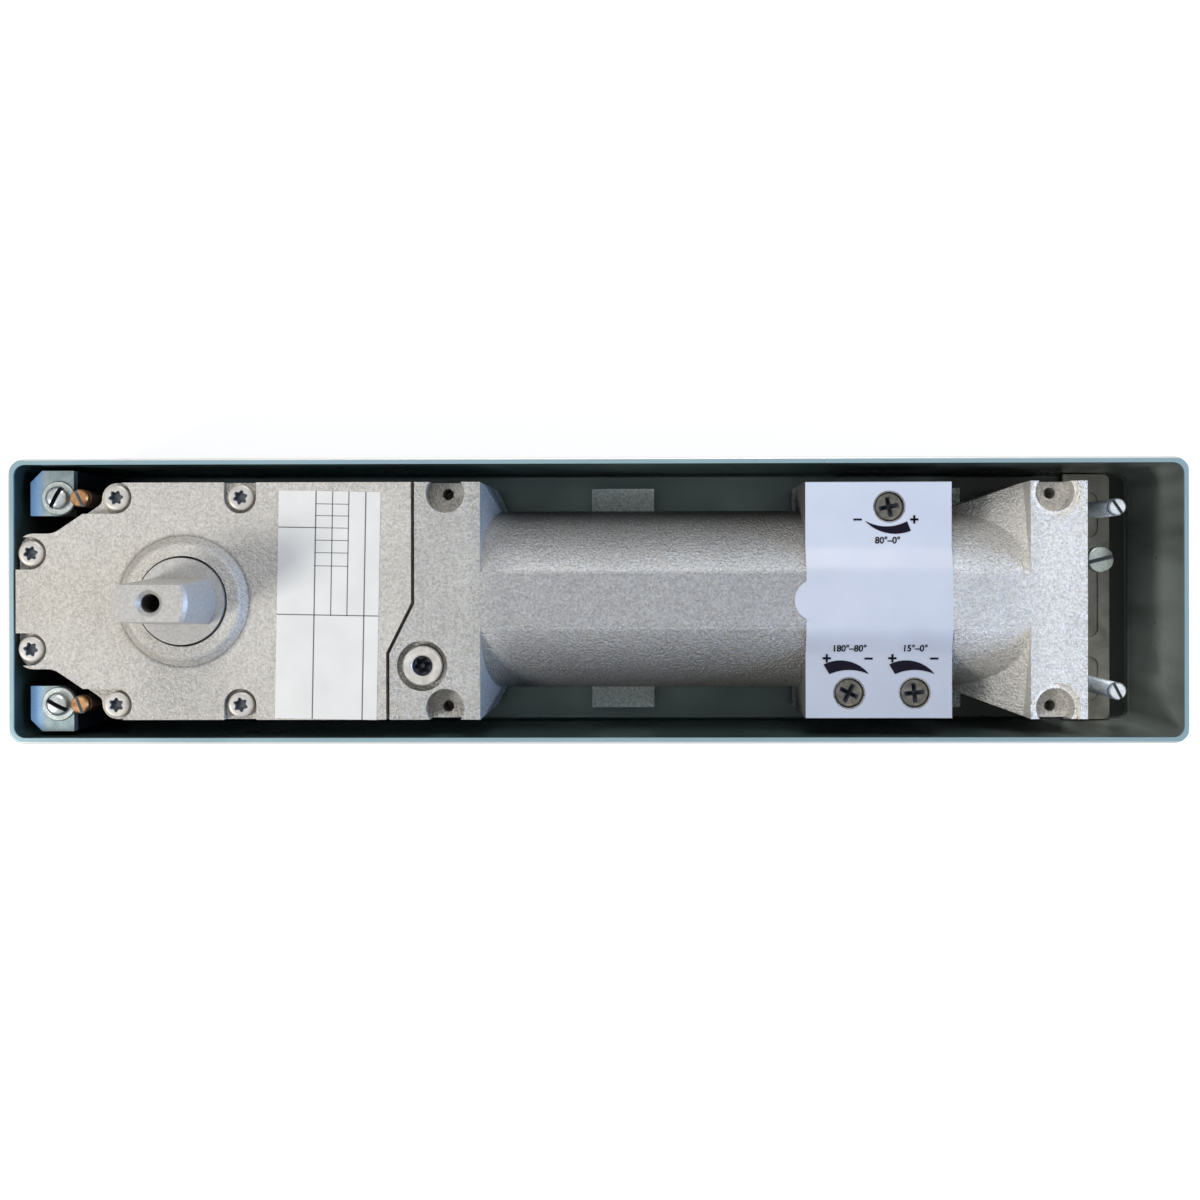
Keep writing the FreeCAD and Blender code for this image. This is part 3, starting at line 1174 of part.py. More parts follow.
def adjustment_label():
    """Foil that lies over the shoulders and the barrel of the valve block, with a round tab."""
    side = "body_half - foil_edge"
    slab = block("foil_slab", ("block_left", "block_right - foil_edge"), ("-(%s)" % side, side),
                 ("shoulder_z", "shoulder_z + foil_thick"))
    arch = foil_arch("foil_outer", "barrel_r + foil_thick", "body_top + foil_thick")
    tab = rod("foil_tab", "tab_r", "foil_thick", "block_left + tab_x", "0", "body_top")
    full = joined("foil_full", [slab, arch, tab])
    tools = [foil_arch("foil_inner", "barrel_r", "body_top"),
             block("foil_under", ("block_left - 1", "block_right + 1"), ("-body_half", "body_half"),
                   ("shoulder_z - 1", "shoulder_z"))]
    tools += [rod(name + "_foil_hole", "foil_hole_r", "3 * block_step", x, y, "shoulder_z - block_step")
              for name, x, y in valve_places()]
    return cut("adjustment_label", full, tools)


def build():
    """All the pieces, in the order in which they go together."""
    pieces = [cement_box(), base_plate(), under_screws()]
    pieces += level_screws()
    pieces.append(plate_fixing_screw())
    pieces += corner_parts("rear", "")
    pieces += corner_parts("front", "-")
    pieces += [clamp_screws(), closer_housing(), cover_gasket(), cam_cover(), cover_screws(),
               spindle(), cam_disc(), cam_key(), cam_spacer()]
    pieces += bearings_and_seal()
    pieces += [roller(), roller_pin(), piston(), piston_ring()]
    pieces += check_valve()
    pieces.append(main_spring())
    pieces += force_adjuster()
    pieces += end_plug()
    pieces += valves()
    pieces += oil_plug()
    pieces += [type_label(), adjustment_label()]
    return pieces


def check(pieces):
    """Stop on any object that failed or any piece with a bad shape."""
    for item in doc.Objects:
        if {"Invalid", "Error"} & set(item.State):
            raise RuntimeError("%s failed: %s" % (item.Label, item.State))
    for item in pieces:
        if item.Shape.isNull() or not item.Shape.isValid() or not item.Shape.Solids:
            raise RuntimeError(item.Label + " has no valid shape")


def write(pieces):
    os.makedirs("parts", exist_ok=True)
    for item in pieces:
        item.Shape.exportStep("parts/%s.step" % item.Label)


parts = build()
doc.recompute()
check(parts)
write(parts)
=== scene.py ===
"""Floor spring in its cement box: finishes, screws, dial marks, studio and camera."""
import math

import bmesh
import bpy
from mathutils import Matrix, Vector


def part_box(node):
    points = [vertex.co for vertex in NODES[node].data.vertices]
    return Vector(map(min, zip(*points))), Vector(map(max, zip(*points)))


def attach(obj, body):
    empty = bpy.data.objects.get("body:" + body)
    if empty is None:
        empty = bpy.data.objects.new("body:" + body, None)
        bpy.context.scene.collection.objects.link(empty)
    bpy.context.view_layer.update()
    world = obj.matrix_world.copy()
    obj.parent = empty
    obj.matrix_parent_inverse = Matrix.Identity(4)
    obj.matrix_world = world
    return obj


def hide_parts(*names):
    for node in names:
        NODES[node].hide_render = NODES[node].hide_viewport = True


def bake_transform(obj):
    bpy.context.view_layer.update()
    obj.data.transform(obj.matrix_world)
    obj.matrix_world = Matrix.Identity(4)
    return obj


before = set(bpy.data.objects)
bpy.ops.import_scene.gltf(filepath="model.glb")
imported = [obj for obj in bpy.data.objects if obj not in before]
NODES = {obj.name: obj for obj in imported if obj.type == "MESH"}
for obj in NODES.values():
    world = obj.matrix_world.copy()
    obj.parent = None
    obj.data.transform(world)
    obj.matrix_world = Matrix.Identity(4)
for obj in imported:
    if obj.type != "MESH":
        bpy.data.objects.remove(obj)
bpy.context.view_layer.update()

MM = 0.001


def low_of(node, axis):
    """Lowest coordinate of a CAD node along an axis, in millimetres."""
    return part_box(node)[0][axis] / MM


def high_of(node, axis):
    """Highest coordinate of a CAD node along an axis, in millimetres."""
    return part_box(node)[1][axis] / MM


def middle(node):
    """Centre of a CAD node's box, in millimetres."""
    return [(low_of(node, axis) + high_of(node, axis)) / 2 for axis in range(3)]


BODY_LEFT = low_of("closer_housing", 0)
BODY_TOP = high_of("closer_housing", 2)
BOX_TOP = high_of("cement_box", 2)
SIDES = 120
WHITE = (1.0, 1.0, 1.0)
# Colour sockets of a mix node.
MIX_FIRST, MIX_SECOND, MIX_RESULT = 6, 7, 2


# Building forms, in millimetres.

def set_ring(verts, height, radius):
    """Moves a ring of vertices to a height and a radius, which may depend on the angle."""
    for vert in verts:
        angle = math.atan2(vert.co.y, vert.co.x)
        reach = radius(angle) if callable(radius) else radius
        vert.co = (reach * math.cos(angle), reach * math.sin(angle), height)


def turned(bm, profile, place=(0.0, 0.0, 0.0), turn=0.0, recess=None):
    """Form through rings of (height, radius), closed at both ends; past the recess ring it is shaded."""
    loop = bmesh.ops.create_circle(bm, segments=SIDES, radius=1.0)["verts"]
    edges = list({edge for vert in loop for edge in vert.link_edges})
    set_ring(loop, *profile[0])
    bmesh.ops.contextual_create(bm, geom=edges)
    verts = list(loop)
    for index, (height, radius) in enumerate(profile[1:], 1):
        made = bmesh.ops.extrude_edge_only(bm, edges=edges)["geom"]
        loop = [item for item in made if isinstance(item, bmesh.types.BMVert)]
        edges = [item for item in made
                 if isinstance(item, bmesh.types.BMEdge) and set(item.verts) <= set(loop)]
        set_ring(loop, height, radius)
        verts += loop
        for face in made:
            if isinstance(face, bmesh.types.BMFace) and recess and index > recess:
                face.material_index = 1
    end = bmesh.ops.contextual_create(bm, geom=edges)["faces"]
    for face in end:
        face.material_index = 1 if recess else 0
    bmesh.ops.transform(bm, matrix=Matrix.Translation(place) @ Matrix.Rotation(turn, 4, "Z"), verts=verts)


def block(bm, low, high, turn=0.0, place=(0.0, 0.0, 0.0)):
    """Box between two corners, then turned and moved."""
    size = [b - a for a, b in zip(low, high)]
    centre = [(a + b) / 2 for a, b in zip(low, high)]
    matrix = (Matrix.Translation(place) @ Matrix.Rotation(turn, 4, "Z") @ Matrix.Translation(centre)
              @ Matrix.Diagonal((*size, 1.0)))
    return bmesh.ops.create_cube(bm, size=1.0, matrix=matrix)["verts"]


def less(form, cutter):
    """The form less a cutter, by an exact Boolean."""
    made = []
    for name, bm in (("form", form), ("cutter", cutter)):
        bmesh.ops.recalc_face_normals(bm, faces=bm.faces)
        mesh = bpy.data.meshes.new(name)
        bm.to_mesh(mesh)
        bm.free()
        made.append(bpy.data.objects.new(name, mesh))
        bpy.context.scene.collection.objects.link(made[-1])
    kept, tool = made
    modifier = kept.modifiers.new("cut", "BOOLEAN")
    modifier.object = tool
    modifier.operation = "DIFFERENCE"
    modifier.solver = "EXACT"
    result = bmesh.new()
    result.from_object(kept, bpy.context.evaluated_depsgraph_get())
    for item in made:
        bpy.data.meshes.remove(item.data)
    return result


def slotted(profile, place, turn, width, floor, reach):
    """Turned form with a shaded slot across its top; the profile and the floor are heights over the place."""
    form = bmesh.new()
    turned(form, profile)
    groove = bmesh.new()
    block(groove, (-reach, -width / 2, floor), (reach, width / 2, floor + reach), turn)
    form = less(form, groove)
    half = width / 2 + 0.001
    for face in form.faces:
        spots = [Matrix.Rotation(-turn, 4, "Z") @ vert.co for vert in face.verts]
        if all(abs(spot.y) < half and spot.z > floor - 0.001 for spot in spots):
            face.material_index = 1
    bmesh.ops.translate(form, vec=place, verts=form.verts)
    return form


def finished(name, bm, finish, body, nodes=(), crease=32.0, outward=True, shade="recess"):
    """Makes a piece of a form and gives it its finish; it rides on the body, if one is named."""
    if outward:
        bmesh.ops.recalc_face_normals(bm, faces=bm.faces)
    limit = math.radians(crease)
    for face in bm.faces:
        face.smooth = True
    for edge in bm.edges:
        edge.smooth = len(edge.link_faces) == 2 and edge.calc_face_angle(0.0) < limit
    bmesh.ops.scale(bm, vec=(MM, MM, MM), verts=bm.verts)
    two_tone = any(face.material_index for face in bm.faces)
    mesh = bpy.data.meshes.new(name)
    bm.to_mesh(mesh)
    bm.free()
    mesh.materials.append(finish)
    if two_tone:
        mesh.materials.append(FINISHES[shade])
    piece = bpy.data.objects.new(name, mesh)
    bpy.context.scene.collection.objects.link(piece)
    if body:
        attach(piece, body)
    if nodes:
        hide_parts(*nodes)
    return piece


def merged(forms):
    """One form out of several."""
    whole = bmesh.new()
    for form in forms:
        mesh = bpy.data.meshes.new("part")
        form.to_mesh(mesh)
        form.free()
        whole.from_mesh(mesh)
        bpy.data.meshes.remove(mesh)
    return whole


def six_lobe(reach, wave=0.15):
    """Radius of a six lobe recess at an angle."""
    return lambda angle: reach * (1.0 + wave * math.cos(6.0 * angle))


def cross(reach, arm):
    """Radius of a cross recess at an angle."""
    def radius(angle):
        nearest = min(abs(math.sin(angle)), abs(math.cos(angle)))
        return min(reach, arm / 2 / max(nearest, 0.001))
    return radius


# Finishes: first the node helpers, then one function for each kind of surface.

def new_finish(name, colour, roughness, metallic=0.0):
    """Material with its even values set on the shader itself."""
    finish = bpy.data.materials.new(name)
    finish.use_nodes = True
    shader = finish.node_tree.nodes["Principled BSDF"]
    shader.inputs["Base Color"].default_value = (*colour, 1.0)
    shader.inputs["Roughness"].default_value = roughness
    shader.inputs["Metallic"].default_value = metallic
    return finish


def node_of(finish, kind, **values):
    """Adds a node and sets its inputs by name."""
    node = finish.node_tree.nodes.new(kind)
    for key, value in values.items():
        node.inputs[key.replace("_", " ")].default_value = value
    return node


def join_up(finish, source, output, target, socket):
    """Links an output of one node to a socket of another."""
    finish.node_tree.links.new(source.outputs[output], target.inputs[socket])


def shader_of(finish):
    """The shader of a material."""
    return finish.node_tree.nodes["Principled BSDF"]


def colour_output(source):
    """Output of a ramp or a mix node that carries its colour."""
    return "Color" if "Color" in source.outputs else MIX_RESULT


def paint(finish, source):
    """Gives the shader its base colour."""
    join_up(finish, source, colour_output(source), shader_of(finish), "Base Color")


def base_of(finish):
    """Node that gives the shader its base colour."""
    return shader_of(finish).inputs["Base Color"].links[0].from_node


def noise(finish, size, detail=4.0, roughness=0.6, stretch=None):
    """Noise whose features are about one size across, in metres, fixed to the piece."""
    place = finish.node_tree.nodes.new("ShaderNodeTexCoord")
    texture = node_of(finish, "ShaderNodeTexNoise", Scale=1.0 / size, Detail=detail, Roughness=roughness)
    if stretch:
        mapping = node_of(finish, "ShaderNodeMapping", Scale=stretch)
        join_up(finish, place, "Object", mapping, "Vector")
        join_up(finish, mapping, "Vector", texture, "Vector")
    else:
        join_up(finish, place, "Object", texture, "Vector")
    return texture


def ramp(finish, source, output, stops):
    """Colour ramp from a list of (position, colour)."""
    node = finish.node_tree.nodes.new("ShaderNodeValToRGB")
    points = node.color_ramp.elements
    while len(points) < len(stops):
        points.new(0.5)
    for point, (position, colour) in zip(points, stops):
        point.position = position
        point.color = (*colour, 1.0)
    join_up(finish, source, output, node, "Fac")
    return node


def tones(finish, source, stops):
    """Grey ramp from a list of (position, tone)."""
    return ramp(finish, source, "Result", [(position, (tone,) * 3) for position, tone in stops])


def along(finish, axis, start, end):
    """Ramp from 0 to 1 between two coordinates, in millimetres."""
    place = finish.node_tree.nodes.new("ShaderNodeTexCoord")
    split = finish.node_tree.nodes.new("ShaderNodeSeparateXYZ")
    level = node_of(finish, "ShaderNodeMapRange", From_Min=start * MM, From_Max=end * MM)
    join_up(finish, place, "Object", split, "Vector")
    join_up(finish, split, axis, level, "Value")
    return level


def mixed(finish, factor, output, first, second):
    """Colour between two others; each is a colour or a node that gives one."""
    node = finish.node_tree.nodes.new("ShaderNodeMix")
    node.data_type = "RGBA"
    join_up(finish, factor, output, node, "Factor")
    for source, index in ((first, MIX_FIRST), (second, MIX_SECOND)):
        if isinstance(source, tuple):
            node.inputs[index].default_value = (*source, 1.0)
        else:
            join_up(finish, source, colour_output(source), node, index)
    return node


def times(finish, first, second):
    """Product of two colours."""
    node = finish.node_tree.nodes.new("ShaderNodeMix")
    node.data_type = "RGBA"
    node.blend_type = "MULTIPLY"
    node.inputs["Factor"].default_value = 1.0
    for source, index in ((first, MIX_FIRST), (second, MIX_SECOND)):
        join_up(finish, source, colour_output(source), node, index)
    return node


def bump(finish, source, output, height, distance=0.0002, under=None):
    """Bump that follows a height, over an earlier bump if one is given."""
    node = node_of(finish, "ShaderNodeBump", Strength=height, Distance=distance)
    join_up(finish, source, output, node, "Height")
    if under:
        join_up(finish, under, "Normal", node, "Normal")
    return node


def cast_finish(name, dark, light, grain=0.0007, roughness=0.45, depth=1.0, metallic=0.5):
    """Blasted casting with a sandy grain and faint larger clouds."""
    finish = new_finish(name, light, roughness, metallic)
    shader = shader_of(finish)
    fine = noise(finish, grain, 2.0, 0.7)
    speck = ramp(finish, fine, "Fac", [(0.34, dark), (0.66, light)])
    cloud = noise(finish, grain * 40, 3.0, 0.5)
    tint = ramp(finish, cloud, "Fac", [(0.35, (0.92, 0.92, 0.92)), (0.65, WHITE)])
    paint(finish, times(finish, speck, tint))
    coarse = noise(finish, grain * 3, 4.0, 0.65)
    wide = bump(finish, coarse, "Fac", depth * 0.6, 0.0010)
    close = bump(finish, fine, "Fac", depth, 0.0008, wide)
    join_up(finish, close, "Normal", shader, "Normal")
    return finish


def barrel_painted_sheen_and_shade(finish):
    """Painted sheen beside the barrel's flat strip at the rear, painted shade down both flanks."""
    # Painted light: brighter beside the strip at the rear, darker down both flanks; kept off the land, end,
    # feet and top.
    across = tones(finish, along(finish, "Y", -27.0, 27.0), [
        (0.0, 0.55), (0.13, 0.62), (0.36, 0.80), (0.5, 1.0), (0.64, 1.48), (0.87, 0.78), (1.0, 0.5)])
    clear_of_land = mixed(finish, along(finish, "X", -30.0, -24.0), "Result", WHITE, across)
    clear_of_end = mixed(finish, along(finish, "X", 96.0, 112.0), "Result", clear_of_land, WHITE)
    over_feet = mixed(finish, along(finish, "Z", 18.0, 22.0), "Result", WHITE, clear_of_end)
    top = along(finish, "Z", BODY_TOP - 0.5, BODY_TOP - 0.2)
    return mixed(finish, top, "Result", over_feet, WHITE)


def housing_finish():
    """Blasted casting; its machined land and end flange, its low feet and its barrel get painted light."""
    finish = cast_finish("housing_cast", (0.27, 0.268, 0.262), (0.43, 0.426, 0.416))
    grain = base_of(finish)
    # Painted light: a ramp along X brightens the land end a little and the end flange strongly.
    end = along(finish, "X", -38.0, 130.0)
    tone = ramp(finish, end, "Result", [
        (0.0, (1.28, 1.26, 1.21)), (0.06, WHITE), (0.6, WHITE), (0.8, (1.45, 1.45, 1.45)),
        (0.93, (1.5, 1.5, 1.5)), (1.0, (1.85, 1.80, 1.73))])
    # Painted light: the housing's low parts and feet are lifted to a bluish tone, about three times brighter
    # below 10 mm.
    foot = ramp(finish, along(finish, "Z", 22.0, 10.0), "Result", [(0.0, WHITE), (1.0, (2.8, 3.2, 3.2))])
    # Painted sheen on the band just under the top; the flat top itself is a little darker.
    flat = tones(finish, along(finish, "Z", BODY_TOP - 4.0, BODY_TOP),
                 [(0.0, 1.0), (0.8, 1.1), (0.97, 1.1), (0.98, 0.94)])
    whole = times(finish, times(finish, times(finish, grain, tone), foot), flat)
    # Last come the barrel's painted sheen and painted shade.
    paint(finish, times(finish, whole, barrel_painted_sheen_and_shade(finish)))
    return finish


def plated_finish(name, dark, light, roughness=0.34, metallic=0.85, patch=0.004, brush=(1.0, 7.0, 7.0)):
    """Plated steel with soft patches of tone and fine scratches."""
    finish = new_finish(name, light, roughness, metallic)
    shader = shader_of(finish)
    cloud = noise(finish, patch, 3.0, 0.5)
    tone = ramp(finish, cloud, "Fac", [(0.32, dark), (0.68, light)])
    paint(finish, tone)
    scratch = noise(finish, 0.0006, 2.0, 0.5, brush)
    gloss = ramp(finish, scratch, "Fac", [(0.3, (roughness - 0.08,) * 3), (0.7, (roughness + 0.12,) * 3)])
    join_up(finish, gloss, "Color", shader, "Roughness")
    lines = bump(finish, scratch, "Fac", 0.08, 0.0001)
    join_up(finish, lines, "Normal", shader, "Normal")
    return finish


def plain_finish(name, dark, light, roughness, metallic=0.0, patch=0.002):
    """Rubber, plastic or paper with a slight unevenness."""
    finish = new_finish(name, light, roughness, metallic)
    shader = shader_of(finish)
    cloud = noise(finish, patch, 3.0, 0.5)
    tone = ramp(finish, cloud, "Fac", [(0.3, dark), (0.7, light)])
    paint(finish, tone)
    skin = bump(finish, cloud, "Fac", 0.06, 0.0001)
    join_up(finish, skin, "Normal", shader, "Normal")
    return finish


def outer_skin(finish, place):
    """Node that is 1 on the outside of the box and 0 on its inside."""
    edge = finish.node_tree.nodes.new("ShaderNodeMath")
    edge.operation = "MAXIMUM"
    sides = (("X", high_of("cement_box", 0)), ("Y", high_of("cement_box", 1)))
    for index, (axis, side) in enumerate(sides):
        level = node_of(finish, "ShaderNodeMapRange",
                        From_Min=(side - 0.75) * MM, From_Max=(side - 0.35) * MM)
        size = finish.node_tree.nodes.new("ShaderNodeMath")
        size.operation = "ABSOLUTE"
        join_up(finish, place, axis, size, 0)
        join_up(finish, size, 0, level, "Value")
        join_up(finish, level, "Result", edge, index)
    return edge


def box_finish():
    """Dark green painted sheet with a bare pale rim; painted light and shadow inside the free end."""
    finish = new_finish("box_steel", (0.06, 0.08, 0.075), 0.35, 0.3)
    shader = shader_of(finish)
    place = finish.node_tree.nodes.new("ShaderNodeSeparateXYZ")
    join_up(finish, finish.node_tree.nodes.new("ShaderNodeTexCoord"), "Object", place, "Vector")
    outside = outer_skin(finish, place)
    cloud = noise(finish, 0.03, 4.0, 0.55)
    dark = ramp(finish, cloud, "Fac", [(0.3, (0.026, 0.046, 0.046)), (0.7, (0.050, 0.082, 0.080))])
    # Painted light for the walls at the free end: a lighter colour with vertical painted reflection streaks.
    streak = noise(finish, 0.02, 3.0, 0.5, (1.0, 1.0, 0.12))
    light = ramp(finish, streak, "Fac", [(0.38, (0.13, 0.15, 0.135)), (0.62, (0.34, 0.38, 0.36))])
    end = along(finish, "X", 110.0, 160.0)
    # Painted light on those walls: brighter lower down, darker near the rim.
    depth = tones(finish, along(finish, "Z", 2.0, 54.0), [(0.0, 1.7), (0.5, 1.1), (1.0, 0.62)])
    walls_with_painted_light = mixed(finish, end, "Result", dark, times(finish, light, depth))
    # Floor: dark green-grey beside the barrel, then a near-black painted shadow beyond the barrel's end.
    floor = mixed(finish, along(finish, "X", 104.0, 112.0), "Result",
                  (0.085, 0.125, 0.125), (0.012, 0.016, 0.015))
    low = along(finish, "Z", 2.6, 2.0)
    inside = mixed(finish, low, "Result", walls_with_painted_light, floor)
    painted = mixed(finish, outside, 0, inside, dark)
    rim = mixed(finish, outside, 0, (0.25, 0.37, 0.41), (0.74, 0.72, 0.68))
    top = along(finish, "Z", BOX_TOP - 0.9, BOX_TOP - 0.5)
    paint(finish, mixed(finish, top, "Result", painted, rim))
    gloss = ramp(finish, cloud, "Fac", [(0.3, (0.26,) * 3), (0.7, (0.42,) * 3)])
    join_up(finish, gloss, "Color", shader, "Roughness")
    skin = bump(finish, cloud, "Fac", 0.12, 0.002)
    join_up(finish, skin, "Normal", shader, "Normal")
    return finish


def clamp_finish():
    """Zinc plate with a blue cast on its outer part."""
    finish = plated_finish("zinc_plate", (0.17, 0.23, 0.25), (0.32, 0.39, 0.40), 0.30, 0.6)
    outer = low_of("clamp_plate_rear", 0)
    blue = along(finish, "X", outer + 4.5, outer + 1.5)
    paint(finish, mixed(finish, blue, "Result", base_of(finish), (0.20, 0.38, 0.66)))
    return finish


def from_spindle(finish, start, end):
    """Ramp from 0 to 1 between two distances from the spindle's axis, in millimetres."""
    place = finish.node_tree.nodes.new("ShaderNodeTexCoord")
    x, y, _ = middle("spindle")
    axis = node_of(finish, "ShaderNodeMapping", Location=(-x * MM, -y * MM, 0.0), Scale=(1.0, 1.0, 0.0))
    join_up(finish, place, "Object", axis, "Vector")
    reach = finish.node_tree.nodes.new("ShaderNodeVectorMath")
    reach.operation = "LENGTH"
    join_up(finish, axis, "Vector", reach, 0)
    level = node_of(finish, "ShaderNodeMapRange", From_Min=start * MM, From_Max=end * MM)
    join_up(finish, reach, "Value", level, "Value")
    return level


def cover_finish():
    """Speckled casting with painted shade on the boss's slope and a painted shadow round its foot."""
    finish = cast_finish("cover_cast", (0.37, 0.355, 0.33), (0.575, 0.55, 0.51), 0.0007, 0.5, 0.6, 0.3)
    # Painted shade: a slightly darker band on the boss's slope and a darker painted shadow at its foot.
    line = tones(finish, from_spindle(finish, 15.0, 20.0), [
        (0.0, 1.0), (0.36, 1.0), (0.42, 0.84), (0.72, 0.84), (0.80, 0.45), (0.86, 0.7), (1.0, 1.0)])
    paint(finish, times(finish, base_of(finish), line))
    return finish


def spindle_finish():
    """Turned steel with painted shade down the tapped hole."""
    finish = plated_finish("turned_steel", (0.36, 0.35, 0.335), (0.47, 0.46, 0.44), 0.42, 0.3, 0.0008)
    # Painted shade: near black down the tapped hole.
    hole = from_spindle(finish, 2.7, 2.4)
    paint(finish, mixed(finish, hole, "Result", base_of(finish), (0.02, 0.02, 0.018)))
    return finish


def near_level_finish():
    """Yellow chromate at the slotted end, with painted shade down the thread."""
    finish = plated_finish("yellow_chromate", (0.24, 0.11, 0.05), (0.52, 0.29, 0.12), 0.30, 0.7, 0.0015)
    top = high_of("level_screw_near_rear", 2)
    # Painted shade: near black down the thread, below the slotted end.
    lit = along(finish, "Z", top - 4.0, top - 0.9)
    paint(finish, mixed(finish, lit, "Result", (0.02, 0.014, 0.01), base_of(finish)))
    return finish


def film_finish():
    """Pale blue film with painted shade: darker towards the front of the box."""
    finish = plain_finish("label_film", (0.54, 0.58, 0.68), (0.60, 0.64, 0.74), 0.38, 0.0, 0.02)
    # Painted shade: darker towards the front, a little lighter towards the rear.
    across = tones(finish, along(finish, "Y", -34.0, 34.0), [
        (0.0, 0.80), (0.28, 0.84), (0.38, 1.0), (0.6, 1.0), (0.8, 1.06), (1.0, 1.08)])
    paint(finish, times(finish, base_of(finish), across))
    return finish


def ink_finish(name, colour):
    """Printed ink or a shaded recess, with hardly any gloss."""
    finish = new_finish(name, colour, 0.7)
    shader_of(finish).inputs["Specular IOR Level"].default_value = 0.05
    return finish


FINISHES = {
    "box": box_finish(),
    "housing": housing_finish(),
    "cover": cover_finish(),
    "zinc": clamp_finish(),
    "yellow": near_level_finish(),
    "screw": plated_finish("screw_zinc", (0.34, 0.39, 0.37), (0.50, 0.56, 0.53), 0.30, 0.7, 0.002),
    "grey_screw": plated_finish("cover_screw_zinc", (0.42, 0.40, 0.375), (0.54, 0.515, 0.48),
                                0.42, 0.3, 0.002),
    "shaft": plated_finish("level_screw_zinc", (0.60, 0.69, 0.78), (0.90, 0.95, 1.0), 0.26, 0.6, 0.002),
    "valve": plated_finish("valve_steel", (0.075, 0.073, 0.062), (0.155, 0.148, 0.128), 0.38, 0.6, 0.0015),
    "plug": plated_finish("plug_zinc", (0.42, 0.40, 0.37), (0.60, 0.58, 0.54), 0.42, 0.5, 0.002),
    "plate": plated_finish("pressed_plate", (0.26, 0.25, 0.22), (0.42, 0.41, 0.37), 0.42, 0.45, 0.006),
    "dark": ink_finish("black_oxide", (0.008, 0.009, 0.009)),
    "turned": spindle_finish(),
    "rubber": plain_finish("black_rubber", (0.008, 0.008, 0.008), (0.02, 0.02, 0.02), 0.6),
    "bronze": plated_finish("bearing_bronze", (0.35, 0.22, 0.09), (0.55, 0.38, 0.17), 0.35, 0.9),
    "paper": plain_finish("gasket_paper", (0.05, 0.05, 0.045), (0.09, 0.09, 0.08), 0.85),
    "film": film_finish(),
    "label": plain_finish("label_paper", (0.70, 0.70, 0.68), (0.76, 0.76, 0.74), 0.45, 0.0, 0.01),
    "ink": ink_finish("dial_ink", (0.010, 0.008, 0.016)),
    "rule": ink_finish("label_rule", (0.17, 0.17, 0.17)),
    "recess": ink_finish("screw_recess_shade", (0.040, 0.045, 0.060)),
    "lobe": ink_finish("lobe_shade", (0.115, 0.130, 0.155)),
    "slot": ink_finish("slot_shade", (0.28, 0.31, 0.33)),
    "spring": plated_finish("spring_wire", (0.10, 0.10, 0.10), (0.18, 0.18, 0.18), 0.4, 0.7),
    "head": plated_finish("clamp_head_zinc", (0.34, 0.38, 0.38), (0.56, 0.60, 0.58), 0.26, 0.7, 0.002),
}

NODE_FINISH = {
    "cement_box": "box", "base_plate": "plate", "closer_housing": "housing", "cam_cover": "cover",
    "cover_gasket": "paper", "corner_pillar_rear": "dark", "corner_pillar_front": "dark",
    "clamp_plate_rear": "zinc", "clamp_plate_front": "zinc", "spindle": "turned", "spindle_seal": "rubber",
    "upper_bearing": "bronze", "lower_bearing": "bronze", "type_label": "label", "oil_plug_washer": "rubber",
    "closing_valve_ring": "rubber", "wide_angle_valve_ring": "rubber", "latch_valve_ring": "rubber",
    "end_plug_ring": "rubber", "force_screw_ring": "rubber",
}

for name, piece in NODES.items():
    chosen = FINISHES[NODE_FINISH.get(name, "screw")]
    piece.data.materials.clear()
    piece.data.materials.append(chosen)


# Screws. Each stands for its CAD node and rides on the same body.

def cover_screws():
    """Six screws with a six lobe recess, given by x from the body's end, y and turn."""
    places = [(29.0, 30.0, 0.1), (29.0, -30.0, 0.5), (65.1, 30.0, 0.3), (65.1, -30.0, 0.7),
              (4.2, 13.9, 0.2), (4.2, -13.9, 0.9)]
    top = high_of("cover_screws", 2)
    foot = low_of("cover_screws", 2) - top
    profile = [(foot, 2.0), (-2.6, 2.0), (-2.6, 3.75), (-0.8, 3.75), (-0.35, 3.62), (-0.1, 3.3), (0.0, 2.8),
               (-0.02, six_lobe(1.85, 0.17)), (-0.25, six_lobe(1.7, 0.17)), (-1.5, six_lobe(1.45, 0.17))]
    bm = bmesh.new()
    for x, y, turn in places:
        turned(bm, profile, (BODY_LEFT + x, y, top), turn, recess=7)
    finished("cover_screw_set", bm, FINISHES["grey_screw"], "closer", ["cover_screws"],
             shade="lobe")


def valve_screws():
    """Regulating screws with a cross recess, a ring groove and a needle."""
    turns = {"closing_valve": 0.2, "wide_angle_valve": 1.1, "latch_valve": 0.1}
    for name, turn in turns.items():
        x, y, _ = middle(name)
        top = high_of(name, 2)
        profile = [(-26.0, 0.6), (-22.0, 2.4), (-16.0, 2.4), (-16.0, 4.25), (-11.2, 4.25), (-11.2, 3.05),
                   (-9.0, 3.05), (-9.0, 4.25), (-0.6, 4.25), (-0.15, 4.0), (0.0, 3.6), (-0.12, 3.3),
                   (-0.08, cross(2.9, 1.35)), (-0.4, cross(2.7, 1.05)), (-1.9, cross(1.4, 0.7))]
        bm = bmesh.new()
        turned(bm, profile, (x, y, top), turn, recess=12)
        finished(name + "_screw", bm, FINISHES["valve"], name, [name])


